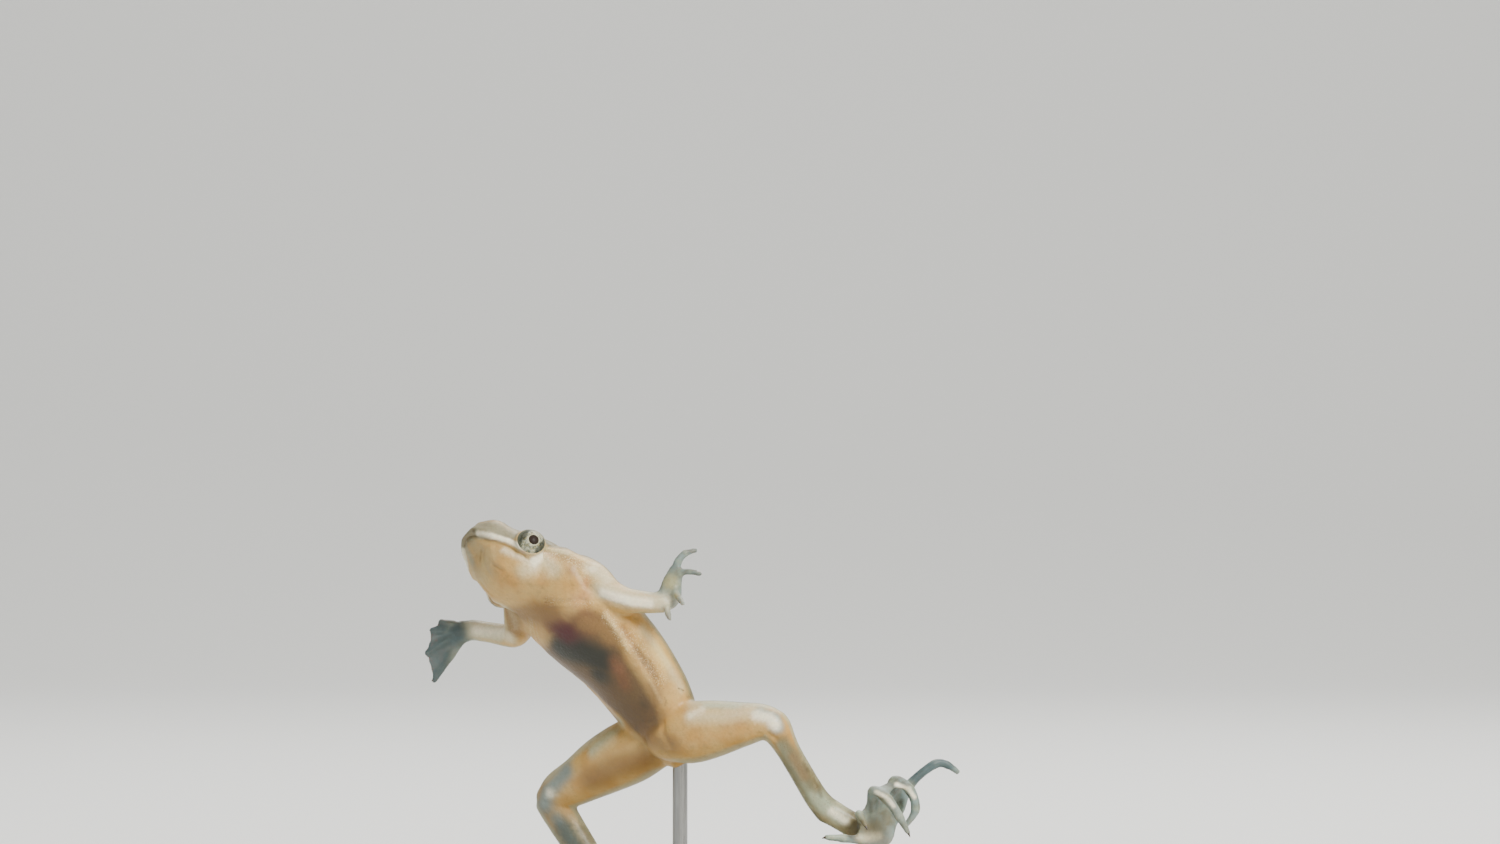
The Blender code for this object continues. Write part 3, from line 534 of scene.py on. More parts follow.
# Folds and swellings: the places that each runs through as seen from the front, its reach, its rise,
# and whether the frog's other side has it too
folds = [
    ([(-10.3, 49.5), (-9.2, 47.9), (-8, 46.2), (-5.9, 45.2)], 0.4, -0.12, True),
    ([(-9.6, 50.4), (-7.9, 49.8), (-6.4, 48.4)], 0.3, 0.06, True),
    ([(-13.2, 51.6), (-12.5, 50.3), (-12.9, 48.9), (-14.2, 48.2)], 0.3, -0.12, True),
    ([(-13.9, 46.2), (-12.2, 46.15), (-9.3, 46.3)], 0.16, -0.09, True),
    ([(-13.8, 45.75), (-12.1, 45.7), (-9.2, 45.85)], 0.16, -0.1, True),
    ([(-13.6, 45.3), (-11.8, 45.25), (-9.3, 45.4)], 0.16, -0.08, True),
    ([(-19.1, 49.6), (-18, 49)], 0.2, -0.08, True),
    ([(-18.6, 50.4), (-17.2, 49.3), (-16.4, 48)], 0.3, -0.06, True),
    ([(-20.1, 50.9), (-20, 49.9), (-19.2, 48.3)], 0.28, -0.07, False),
    (ridgeTop, 0.34, 0.12, False),
    ([(-7.3, 44.6), (-5.7, 42.5), (-4.9, 41.2), (-4.6, 39.6)], 0.45, 0.06, True),
    (ridgeLow, 0.35, 0.09, True),
    (flankGroove, 0.34, -0.1, True),
    ([(-4.6, 44), (-2.6, 41), (-1, 38)], 0.4, 0.08, True),
    ([(-6.3, 34.4), (-5.2, 33.3), (-4.3, 32)], 0.45, -0.07, False),
    ([(-0.9, 36.6), (-1.9, 34.9), (-2, 33), (-1.2, 31.4)], 0.32, -0.14, False),
    ([(9.1, 34.2)], 0.8, 0.14, False),
    ([(-13.1, 26.6)], 0.8, 0.14, False),
    ([(8.6, 32.6), (9.6, 32)], 0.3, -0.12, False),
    ([(1, 33.3), (3.6, 33), (6.6, 33.4)], 0.45, -0.07, False),
    ([(10.7, 31.4), (12.3, 28.8), (13.7, 26.6)], 0.3, -0.06, False),
    ([(-5, 31.2), (-8, 29.7), (-11.2, 27.8)], 0.45, -0.07, False),
    ([(-12.4, 24.9), (-10.8, 22.5), (-9.2, 20.2)], 0.3, -0.06, False),
]
push = np.zeros(len(co))
for places, reach, rise, both in folds:
    push += rise * mark(places, reach, both)

# the mouth, its lips and the nostrils
below = trunkAt[:, 2] - mouthDown(station)
mouthHere = isHead * (1 - softStep(*mouthForm["end"], station))
push -= mouthForm["depth"] * bell(below, mouthForm["width"]) * mouthHere
for offset, reach, rise in mouthForm["lips"]:
    push += rise * bell(below - offset, reach) * mouthHere
nostril = np.zeros(len(co))
for side in (1, -1):
    middle = trunk.at(headForm["nostrilStation"], side * headForm["nostrilSide"], headForm["nostrilDown"])
    away = np.linalg.norm(co - np.array(middle), axis=1)
    nostril = np.maximum(nostril, bell(away, headForm["nostrilRadius"]))
push -= headForm["nostrilDepth"] * nostril
shaped = co + normals * push[:, None]

# the skin closes round each eye with a thin rim
lidRim = np.zeros(len(co))
for side in (1, -1):
    middle = np.array(eyePlace(side))
    away = shaped - middle
    far = np.linalg.norm(away, axis=1)
    polar = np.degrees(np.arccos(np.clip(away @ np.array(eyeWay(side, "facing")) / far, -1, 1)))
    radius = headForm["eyeRadius"]
    past = polar - lidForm["angle"]
    inner = radius - lidForm["under"]
    target = inner + (lidForm["thickness"] + lidForm["under"]) * softStep(*lidForm["slope"], past)
    hold = (1 - softStep(*lidForm["hold"], past)) * (far < radius + lidForm["reach"])
    shaped = middle + away * (1 + hold * (target / far - 1))[:, None]
    lidRim = np.maximum(lidRim, bell(past - 5, lidForm["tint"]) * (far < radius + lidForm["tintReach"]))
skin.data.vertices.foreach_set("co", shaped.ravel())
print("folds shaped")


# Where the skin's tints lie

limbs = {}
for side, form in legForms.items():
    limbs["leg" + side] = (Spine(form["thigh"] + form["shank"][1:] + form["tarsus"][1:], 8, limbAxes),
                           form["backSign"])
for side, rows in armForms.items():
    limbs["arm" + side] = (Spine(rows, 8, limbAxes), 1.0)

# how much of each vertex is back, from the trunk's own shape and each limb's, and how near it lies to a
# limb's edge, where a painted translucent glow goes
trunkRatio = spot["far"] / np.maximum(spot["half"], 0.5)
share = [trunkRatio.clip(0.2) ** -6]
turned = trunkAt[:, 2] / np.maximum(spot["deep"], 0.5)
backs = [softStep(0.15, -0.75, turned)]
rims = [np.zeros(len(co))]
legWay = np.zeros(len(co))
for name, (line, sign) in limbs.items():
    here = line.read(co)
    weight = (here["far"] / np.maximum(here["half"], 0.5)).clip(0.2) ** -6
    share.append(weight)
    across = here["place"][:, 1] / np.maximum(here["half"], 0.5)
    away = here["place"][:, 2] / np.maximum(here["deep"], 0.5)
    backs.append(softStep(-0.1, 1.0, 0.6 * sign * across + 0.7 * away))
    rims.append(softStep(0.5, 1.0, np.abs(across)))
    way = here["place"][:, 0] / line.lengths[-1]
    if name.startswith("leg"):
        legWay = np.maximum(legWay, way * (weight > share[0]) * (here["far"] < 4.5))
back = sum(w * b for w, b in zip(share, backs)) / sum(share)
rim = sum(w * r for w, r in zip(share, rims)) / sum(share)

# the webs between the digits, the knuckles, and how much of each vertex belongs to a paw
pawTint = {"reach": 12.0, "wrist": (-1.8, 1.6), "wristReach": 3.5, "joint": 0.14,
           "offPalm": (1.0, 1.3), "offDigit": (1.2, 2.0), "sheet": (0.45, 0.6)}
webbed = np.zeros(len(co))
knuckles = np.zeros(len(co))
pawHere = np.zeros(len(co))
for lines in pawLines.values():
    near = np.where(np.linalg.norm(co - lines["sheets"].mean(0), axis=1) < pawTint["reach"])[0]
    best = np.full(len(near), np.inf)
    tip = np.zeros(len(near))
    joint = np.zeros(len(near))
    for rows in lines["digits"]:
        lengths = lengthsOf(rows[:, :3])
        far = np.linalg.norm(co[near][:, None, :] - rows[None, :, :3], axis=2)
        at = far.argmin(1)
        ratio = far[np.arange(len(near)), at] / rows[at, 3]
        closer = ratio < best
        best = np.where(closer, ratio, best)
        tip = np.where(closer, lengths[at] / lengths[-1], tip)
        knots = np.abs(at / 10 - np.round(at / 10))
        joint = np.where(closer, bell(knots, pawTint["joint"]) * (at > 5) * (at < len(rows) - 5), joint)
    sheet = np.linalg.norm(co[near][:, None, :] - lines["sheets"][None, ::2, :], axis=2).min(1)
    palm = lines["palm"].read(co[near])
    offPalm = softStep(*pawTint["offPalm"], palm["far"] / np.maximum(palm["half"], 0.3))
    onSheet = 1 - softStep(*pawTint["sheet"], sheet)
    webbed[near] = np.maximum(webbed[near], softStep(*pawTint["offDigit"], best) * offPalm * onSheet)
    knuckles[near] = np.maximum(knuckles[near], joint * (best < 1.6))
    wrist = softStep(*pawTint["wrist"], palm["place"][:, 0]) * (palm["far"] < pawTint["wristReach"])
    digit = np.maximum((best < 1.8), onSheet) * softStep(0.0, 0.1, tip)
    pawHere[near] = np.maximum(pawHere[near], np.maximum(wrist, digit))

# the dark belly runs from flank to flank, and narrows to a point between the thighs
bellyForm = {"soft": 1.1, "start": 1.2, "tipSoft": 0.6, "tip": 30.6, "fade": 4.4, "groinFrom": 22.5,
             "edge": [(-9.4, 45.4), (-7.7, 44.4), (-6.9, 43.2), (-6.4, 42.0), (-5.5, 40.0), (-3.9, 38.0),
                      (-2.5, 36.1), (-1.9, 33.4), (-1.4, 32.4)],
             "groin": [(-6.2, 34.2), (-4.5, 32.3), (-3.3, 31.0)]}
edge = trunkAt[[frontVertex(x, z) for x, z in bellyForm["edge"]]]
groin = trunkAt[[frontVertex(x, z) for x, z in bellyForm["groin"]]]
mirrored = edge[edge[:, 0] < bellyForm["groinFrom"]] * np.array([1, -1, 1])
groin = np.vstack([mirrored, groin])
leftEdge = np.interp(trunkAt[:, 0], *edge[np.argsort(edge[:, 0]), :2].T)
rightEdge = np.interp(trunkAt[:, 0], *groin[np.argsort(groin[:, 0]), :2].T)
inside = np.minimum(leftEdge - trunkAt[:, 1], trunkAt[:, 1] - rightEdge)
towardTip = softStep(bellyForm["groinFrom"], bellyForm["tip"], trunkAt[:, 0])
bellyHere = softStep(-1, 1, inside / (bellyForm["soft"] + bellyForm["tipSoft"] * towardTip))
bellyHere *= softStep(-0.4, 0.6, trunkAt[:, 2])
bellyHere *= softStep(edge[0, 0] - bellyForm["start"], edge[0, 0] + bellyForm["start"], trunkAt[:, 0])
bellyHere *= 1 - softStep(bellyForm["tip"] - bellyForm["fade"], bellyForm["tip"], trunkAt[:, 0])

# name of each tint, with the strokes that lay it down: places, reach and strength
strokes = {
    "plum": [([(-13.1, 43.8), (-10.8, 42.2)], 1.9, 0.85), ([(-11.4, 44.3), (-9.6, 43.6)], 1.3, 0.6)],
    "heart": [([(-12.4, 43.4), (-11.7, 42.8)], 1.45, 0.85)],
    "flush": [
        ([(-10.5, 45.8), (-9.4, 47)], 1.1, 0.5), ([(-9.7, 44.6)], 1.3, 0.35), ([(14.7, 25.6)], 0.35, 0.7),
        ([(-6.3, 39.1)], 0.9, 0.28)],
    "gut": [
        ([(-12, 41), (-10, 40.7), (-8.3, 40)], 1.9, 1), ([(-8.4, 38.6)], 1.6, 0.8),
        ([(-3.6, 35.6)], 1.2, 0.4)],
    "rust": [([(-6.7, 39.8), (-5.8, 37.6)], 1, 0.65), ([(-9, 43.2), (-7.6, 44)], 1, 0.5)],
    # pearly white skin on the arms, with painted highlight on the knees and along the tops of the left
    # foot's toes
    "pearl": [
        ([(-8, 46.8), (-6.7, 46.3), (-5, 46.1), (-3.4, 45.9)], 0.5, 0.9),
        ([(-20.4, 43.5), (-18, 43.1)], 0.6, 0.7), ([(7.6, 34.9), (8.6, 34.6), (9.6, 33.9)], 0.75, 0.7),
        ([(-13.2, 26.7)], 0.7, 0.5), ([(19.3, 27.1), (20.4, 26.7), (21.3, 25.8)], 0.26, 0.7),
        ([(21.7, 28.1), (22.7, 27.5), (23.4, 26.8)], 0.26, 0.8), ([(16.3, 24.2), (15.5, 25)], 0.55, 0.6)],
    # dark marks of the skin, with painted shadow between the toes and painted shade in a fold under the
    # snout
    "dark": [
        ([(-20.9, 53.2)], 0.4, 0.7), ([(12.7, 30), (13, 29.3)], 0.4, 0.65),
        ([(13.8, 28.3), (14.4, 26.4)], 0.35, 0.55), ([(17.2, 22.9)], 0.4, 0.6), ([(17.8, 24)], 0.35, 0.6),
        ([(18.8, 25.7), (19, 24.7)], 0.35, 0.6), ([(21.2, 26.7), (21.7, 25.6)], 0.35, 0.55),
        ([(-20.2, 51), (-20.3, 50)], 0.25, 0.5)],
    "grey": [([(-21.6, 51.1), (-21.1, 49.9)], 0.6, 0.5)],
    "green": [([(-1.2, 48.2)], 1.1, 0.75), ([(-0.8, 46.6)], 0.6, 0.6)],
    "cold": [
        ([(7.7, 35.3), (9.5, 34.8), (10.1, 33.6)], 0.8, 0.8),
        ([(-11.6, 29.3), (-13.5, 27.2), (-13.9, 25.7)], 1.2, 0.85),
        ([(-12.6, 24.2), (-11.2, 22.2)], 0.8, 0.6)],
    "mist": [
        ([(-6.2, 33.8), (-9, 31.4)], 0.8, 0.7), ([(2.5, 35.9), (5.5, 35.9)], 0.7, 0.6),
        ([(-21.6, 43.3), (-18.5, 42.8)], 0.8, 0.85), ([(14.2, 25.9), (16, 24.8), (17.6, 24)], 1, 0.95),
        ([(10.4, 31.4), (11.6, 28.9), (13.4, 25.6), (14.2, 24.8)], 0.7, 0.8),
        ([(25.5, 30.2), (26.8, 30)], 0.25, 0.4), ([(16.6, 22.9), (14.8, 22.9)], 0.5, 0.7)],
    "tan": [
        ([(-11.8, 23), (-9.4, 19.4)], 1.1, 0.8), ([(17.2, 24.2), (18.4, 23.2), (19.8, 23.2)], 1.5, 0.85),
        ([(20, 26.2), (20.9, 24)], 1.1, 0.7), ([(10.6, 31.8), (13.2, 27.4)], 0.9, 0.75),
        ([(-16.4, 44.5)], 1.1, 0.5)],
    # painted shade: a darker brown where less light falls, on the low chest, the right upper arm, the vent,
    # the right thigh and the left shank
    "dusk": [
        ([(-16.1, 44.6), (-13.2, 44.9)], 1.4, 1), ([(-16.7, 44.6), (-17, 43)], 1.3, 0.95),
        ([(-9.6, 43.7), (-7.9, 43.3), (-6.9, 42.3)], 1.2, 0.9), ([(-3.6, 32.2), (-1.2, 31.6)], 1.5, 0.75),
        ([(-9.2, 28), (-7, 29), (-3, 30.1)], 1.6, 0.85), ([(11.4, 30.2), (12.6, 28.2)], 0.7, 0.6)],
    "milk": [
        ([(1, 34.8), (4, 34.8), (7, 35.3)], 1.1, 0.62),
        ([(-21.3, 43.3), (-20, 43.2), (-18, 42.8), (-17.4, 42.3)], 1, 0.9),
        ([(-8, 47.7), (-5.5, 46.7), (-3.4, 46.2), (-2.2, 45.9)], 1.2, 0.85),
        ([(-7, 32.4), (-9, 30.9)], 0.9, 0.4), ([(18.4, 22.5), (20, 22.4)], 0.6, 0.6)],
    # painted shade: dark blue-grey on the right hand, the right shank and the tips of the left foot's outer
    # toes
    "deep": [
        ([(-23.8, 43.2), (-25.2, 43)], 1.5, 0.95), ([(-24, 41.6), (-25.4, 40.6)], 1.5, 0.95),
        ([(-23.8, 40.6), (-24.9, 38.3)], 1.5, 1), ([(23.9, 28.8), (25.2, 29.7), (26.8, 29.8)], 1, 1),
        ([(-13, 24.4), (-11.4, 22.6), (-9.4, 19.7), (-7.8, 17), (-8.2, 12.8)], 1.6, 0.62),
        ([(-22.4, 42.9), (-23.4, 41.8)], 1.3, 1)],
    "speck": [
        ([(11, 31.6), (14.6, 25.9), (17.4, 23.8)], 1, 1), ([(18.8, 23.6)], 1.6, 0.7),
        ([(-10, 43.8), (-8, 44.6)], 1, 0.7), ([(-1.2, 48.2)], 1.2, 0.5),
        ([(19.6, 25), (21.8, 26.4)], 1.5, 0.5)],
}

# strokes that the frog's other side has too
pairedStrokes = {
    "flush": [([(-15.9, 50.9)], 0.3, 0.9), ([(-9.2, 48.5), (-9.9, 46.7)], 0.45, 0.5)],
    "rust": [([(-10.9, 49.4)], 0.75, 0.6), (flankGroove, 0.42, 0.5)],
    # pearly white on the lips, cheeks and hips, partly painted highlight of wet skin
    "pearl": [
        ([(-20.5, 52.95), (-18.1, 52.6), (-16.9, 52), (-16.1, 51.4), (-15.5, 51.2)], 0.34, 1),
        ([(-18.3, 51.4), (-16.5, 50.1), (-14.8, 49.4)], 0.45, 0.45),
        ([(-14.5, 49.6), (-13.3, 50.3)], 0.8, 0.95), ([(-8.9, 49.6)], 0.55, 0.5),
        ([(0.9, 34.9), (2, 35.5)], 0.6, 0.42)],
    "ridge": [(ridgeTop, 0.34, 0.85), ([(-4.9, 41.2), (-4.6, 39.4)], 0.4, 0.45), (ridgeLow, 0.28, 0.55)],
    "yellow": [([(-2, 41.5), (-1.2, 40.2)], 0.9, 0.7), ([(-9.5, 50.5)], 0.7, 0.5)],
    # dark marks, with painted shade in the chest's creases and in folds at the chin and before the thigh
    "dark": [
        ([(0.1, 37.5), (0.6, 37.4)], 0.13, 0.8), ([(-1.1, 36), (-1.4, 35.3)], 0.14, 0.6),
        ([(-1.1, 38)], 0.3, 0.4), ([(-18.9, 49.5), (-18.1, 49)], 0.22, 0.42),
        ([(-13.9, 46.2), (-9.4, 46.3)], 0.17, 0.5), ([(-13.8, 45.7), (-9.4, 45.85)], 0.17, 0.5)],
    "grey": [
        ([(-21.4, 52.8), (-20.6, 53.5), (-18.7, 53.7), (-16.9, 53.3)], 1.05, 0.95),
        ([(-15.3, 54), (-13.7, 53.6), (-12.6, 52.4)], 0.7, 0.8)],
    "green": [([(-12.6, 51.5), (-11.4, 51.2)], 0.8, 0.7), ([(-0.8, 38.6)], 1, 0.3)],
    "mist": [([(-20.7, 51.6), (-19.5, 50.6), (-19.6, 49.2)], 1.7, 0.38)],
    "tan": [([(-20.6, 50.7), (-19.7, 49.7)], 1.6, 0.3)],
    # painted shade in darker brown on both flanks and at both sides of the neck
    "dusk": [
        ([(-4.2, 41), (-2.2, 38.4)], 0.55, 0.85), ([(-2.6, 37.2), (-2, 36.2)], 0.9, 0.85),
        ([(-11.4, 50.7), (-9.7, 50.1)], 0.8, 0.6)],
    "milk": [
        ([(-3.4, 43.4), (-1.4, 40.6), (0.4, 37.6)], 0.8, 0.5), ([(0.9, 34.9)], 0.9, 0.55),
        ([(-8.6, 49.7), (-7.2, 48.5)], 1.1, 0.85), ([(-15.6, 48.8), (-13, 49.4)], 1.1, 0.65)],
    "grit": [
        ([(-15, 49.5), (-13.2, 50.2)], 1.2, 1), ([(-12, 51.4), (-9.6, 50.3), (-8.4, 49.3)], 1.3, 1),
        ([(-7.3, 44.6), (-4.8, 41)], 0.6, 1), ([(-4.5, 42.6), (-1.9, 38.4)], 1.1, 0.7),
        ([(-13.5, 45.9), (-9.2, 45.7)], 0.7, 0.6)],
    "speck": [
        ([(-10.9, 49.4), (-9.8, 48)], 1.1, 1), ([(-6, 43.8), (-1.2, 36.4)], 1, 1),
        ([(-20.6, 53.4), (-15.9, 53.3)], 0.7, 0.8)],
}
tints = {name: np.zeros(len(co)) for name in (*strokes, *pairedStrokes)}
for rows, both in ((strokes, False), (pairedStrokes, True)):
    for name, lines in rows.items():
        for places, reach, strength in lines:
            tints[name] = np.maximum(tints[name], strength * mark(places, reach, both))
tints["back"] = back
tints["rim"] = rim
tints["belly"] = bellyHere * softStep(0.25, 0.6, share[0] / sum(share))
tints["web"] = webbed
tints["paw"] = pawHere
tints["knuckle"] = knuckles
tints["mouth"] = np.maximum(bell(below, mouthForm["tint"]) * mouthHere, nostril)
tints["lid"] = lidRim
tints["leg"] = legWay
for name, values in tints.items():
    layAttribute(skin, name, values)
print("tints laid")


def finishPiece(piece, finish, slot, *nodes):
    piece.data.transform(Matrix.Scale(mm, 4))
    piece.data.materials.clear()
    piece.data.materials.append(finish)
    piece.data.shade_smooth()
    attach(piece, "root")
    if nodes:
        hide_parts(*nodes)


# Finishes

def tone(red, green, blue):
    # a colour as a paint chart gives it, made linear
    out = []
    for part in (red, green, blue):
        part = part / 255
        out.append(part / 12.92 if part <= 0.04045 else ((part + 0.055) / 1.055) ** 2.4)
    return (*out, 1.0)


class Value:
    # a number that varies over the surface
    def __init__(self, finish, socket):
        self.finish = finish
        self.socket = socket

    def sum(self, operation, first, second):
        return self.finish.add("ShaderNodeMath", {"operation": operation}, {0: first, 1: second})

    def __add__(self, other):
        return self.sum("ADD", self, other)

    __radd__ = __add__

    def __sub__(self, other):
        return self.sum("SUBTRACT", self, other)

    def __rsub__(self, other):
        return self.sum("SUBTRACT", other, self)

    def __mul__(self, other):
        return self.sum("MULTIPLY", self, other)

    __rmul__ = __mul__


class Finish:
    # a material and the nodes that make it
    def __init__(self, name, constants):
        self.material = bpy.data.materials.new(name)
        self.material.use_nodes = True
        self.tree = self.material.node_tree
        self.shader = self.tree.nodes["Principled BSDF"]
        for socket, value in constants.items():
            self.shader.inputs[socket].default_value = value

    def add(self, kind, settings=None, values=None, output=0):
        node = self.tree.nodes.new(kind)
        for name, value in (settings or {}).items():
            setattr(node, name, value)
        for name, value in (values or {}).items():
            self.feed(node.inputs[name], value)
        return Value(self, node.outputs[output])

    def feed(self, socket, value):
        if isinstance(value, Value):
            self.tree.links.new(value.socket, socket)
        else:
            socket.default_value = value

    def read(self, name):
        return self.add("ShaderNodeAttribute", {"attribute_name": name}, output="Fac")

    def place(self):
        return self.add("ShaderNodeTexCoord", output="Object")

    def noise(self, scale, detail=3.0, rough=0.55):
        return self.add("ShaderNodeTexNoise", values={"Vector": self.place(), "Scale": scale / mm,
                                                      "Detail": detail, "Roughness": rough})

    def cells(self, scale, feature="F1"):
        return self.add("ShaderNodeTexVoronoi", {"feature": feature},
                        {"Vector": self.place(), "Scale": scale / mm}, "Distance")

    def between(self, low, high, value):
        return self.add("ShaderNodeMapRange", {"interpolation_type": "SMOOTHSTEP"},
                        {"Value": value, "From Min": low, "From Max": high})

    def mix(self, factor, first, second, blend="MIX"):
        return self.add("ShaderNodeMix", {"data_type": "RGBA", "blend_type": blend},
                        {0: factor, 6: first, 7: second}, 2)

    def bump(self, height, distance, strength, under=None):
        values = {"Height": height, "Distance": distance * mm, "Strength": strength}
        if under is not None:
            values["Normal"] = under
        return self.add("ShaderNodeBump", values=values)

    def feedShader(self, **links):
        for name, value in links.items():
            self.feed(self.shader.inputs[name.replace("_", " ")], value)


# colours of the skin's two grounds, its back, and the tints laid on them
skinFinish = {
    "cream": tone(198, 162, 96), "gold": tone(184, 140, 70), "back": tone(128, 116, 78),
    "spot": tone(78, 68, 44), "dot": tone(84, 60, 32), "belly": tone(80, 60, 36), "plum": tone(88, 52, 40),
    "heart": tone(74, 20, 28), "flush": tone(190, 118, 92), "rust": tone(116, 74, 44),
    # the pearly white on the next line is both pearly skin and painted highlight
    "gut": tone(32, 38, 31), "pearl": tone(248, 240, 212), "ridge": tone(222, 194, 136),
    "yellow": tone(216, 182, 88), "dark": tone(62, 50, 30), "grey": tone(124, 126, 106),
    # the pale grey-green on the next line is the skin's own and also a painted translucent glow on the
    # limbs' edges
    "green": tone(164, 160, 116), "cold": tone(112, 136, 138), "mist": tone(158, 168, 142),
    # the last colour on the next line is a darker brown for painted shade
    "web": tone(136, 148, 134), "tan": tone(100, 90, 56), "dusk": tone(132, 100, 56),
    # the dark blue-grey on the next line is painted shade
    "milk": tone(214, 204, 168), "deep": tone(58, 78, 82), "mouth": tone(118, 96, 56),
    "lid": tone(146, 148, 126), "grit": tone(238, 224, 178),
}

# the tints laid over one another in turn: the strength of stroke at which each is full, and its cover
skinLayers = {
    "belly": (0.9, 0.92), "plum": (0.9, 0.8), "gut": (0.95, 0.92), "heart": (0.9, 0.85), "rust": (0.9, 0.7),
    "flush": (1.0, 0.6), "yellow": (0.8, 0.75), "green": (0.8, 0.8), "grey": (0.8, 0.85),
    "cold": (0.9, 0.85), "mist": (0.9, 0.85), "tan": (0.9, 0.8), "dusk": (0.95, 0.85), "milk": (0.95, 0.85),
    "ridge": (1.0, 0.5), "pearl": (0.8, 0.95),
}


def skinMaterial():
    look = skinFinish
    f = Finish("frogSkin", {"Subsurface Weight": 0.3, "Subsurface Radius": (1.0, 0.55, 0.35),
                            "Subsurface Scale": 0.0011, "Coat Roughness": 0.2, "IOR": 1.4})
    soft = f.noise(0.4, 4.0)
    grain = f.noise(3.2, 4.0, 0.6)
    ripple = (soft - 0.5) * 0.4 + (grain - 0.5) * 0.35
    back = f.read("back")
    leg = f.read("leg")
    paw = f.read("paw")

    colour = f.mix(f.between(0.35, 0.7, soft), look["cream"], look["gold"])
    colour = f.mix(f.between(0.25, 0.8, back + ripple), colour, look["back"])
    # painted translucent glow: the limbs' edges paler grey-green, as if light shone through thin skin
    colour = f.mix(f.between(0.45, 1.0, f.read("rim") + ripple * 0.5) * 0.55, colour, look["mist"])
    shank = f.between(0.5, 0.6, leg) * (1 - f.between(0.92, 1.0, leg))
    colour = f.mix(shank * 0.5, colour, look["mist"])
    colour = f.mix(shank * f.between(0.2, 0.7, soft + ripple) * 0.8, colour, look["tan"])
    colour = f.mix(f.between(0.05, 0.9, paw + ripple * 0.5) * 0.75, colour, look["cold"])
    mottled = f.between(0.1, 0.6, paw) * f.between(0.45, 0.7, f.noise(0.9, 4.0))
    colour = f.mix(mottled * 0.45, colour, look["tan"])
    colour = f.mix(f.read("web") * 0.75, colour, look["web"])
    colour = f.mix(f.between(0.5, 0.75, f.noise(1.3, 5.0, 0.7)) * 0.3, colour, look["tan"])
    blotch = f.between(0.5, 0.62, f.noise(0.55, 5.0, 0.65)) * f.between(0.5, 1.0, back + ripple)
    colour = f.mix(blotch * 0.55, colour, look["spot"])
    # tints laid in turn; the darker brown among them is painted shade, and the pearly white is partly
    # painted highlight
    for name, (full, most) in skinLayers.items():
        held = f.between(0.05, full, f.read(name) + ripple * 0.4)
        colour = f.mix(held * most, colour, look[name])
    colour = f.mix(f.read("knuckle") * 0.35, colour, look["mist"])
    # painted shade in dark blue-grey on the right hand, the right shank and outer toe tips
    colour = f.mix(f.between(0.05, 0.9, f.read("deep") + ripple * 0.5) * 0.85, colour, look["deep"])
    grit = f.between(0.52, 0.64, f.noise(8.0, 2.0)) * f.between(0.1, 0.9, f.read("grit") + ripple)
    colour = f.mix(grit * 0.45, colour, look["grit"])
    speckled = f.between(0.1, 0.8, f.read("speck") * 0.8 + back * (1 - paw) * 0.7 + ripple)
    dots = (1 - f.between(0.1, 0.26, f.cells(4.2))) * f.between(0.42, 0.56, f.noise(1.2, 2.0))
    colour = f.mix(dots * speckled * 0.75, colour, look["dot"])
    spots = f.between(0.58, 0.7, f.noise(1.3, 4.0, 0.65))
    colour = f.mix(spots * speckled * 0.3, colour, look["dot"])
    # dark marks, partly painted shade in creases and painted shadow between the toes
    colour = f.mix(f.between(0.2, 0.9, f.read("dark") + ripple) * 0.75, colour, look["dark"])
    colour = f.mix(f.read("mouth") * 0.6, colour, look["mouth"])
    colour = f.mix(f.read("lid") * 0.4, colour, look["lid"])
    shade = 0.9 + (grain - 0.5) * 0.4
    colour = f.mix(1.0, colour, f.add("ShaderNodeCombineColor", values={0: shade, 1: shade, 2: shade}),
                   "MULTIPLY")

    granules = f.cells(3.4, "SMOOTH_F1")
    wrinkle = f.noise(1.6, 5.0, 0.65)
    normal = f.bump(granules, 0.06, 0.5)
    normal = f.bump(wrinkle, 0.14, 0.45, normal)
    f.feedShader(Base_Color=colour, Roughness=0.42 + grain * 0.2, Normal=normal,
                 Alpha=1 - f.read("web") * 0.2, Coat_Weight=0.1 + f.read("pearl") * 0.4)
    return f.material


flesh = ["head", "lower_jaw", "torso"]
flesh += [part + "_" + side for part in ("upper_arm", "forearm", "hand", "thigh", "shank", "tarsus", "foot")
          for side in ("left", "right")]
finishPiece(skin, skinMaterial(), "skin", *flesh)
print("skin finished")


# The eyes

# angles from the middle of the pupil in degrees, and where the darker fore and aft of the iris start
eyeForm = {"segments": 72, "rings": 48, "pupil": 18.5, "ring": 20.4, "bulge": 0.05, "bulgeReach": 24,
           "bar": (0.25, 0.7)}
eyeFinish = {
    "pupil": tone(44, 37, 32), "ring": tone(206, 202, 172), "iris": tone(166, 168, 148),
    "irisDark": tone(26, 31, 31), "gold": tone(172, 156, 96), "edge": tone(96, 100, 84),
}


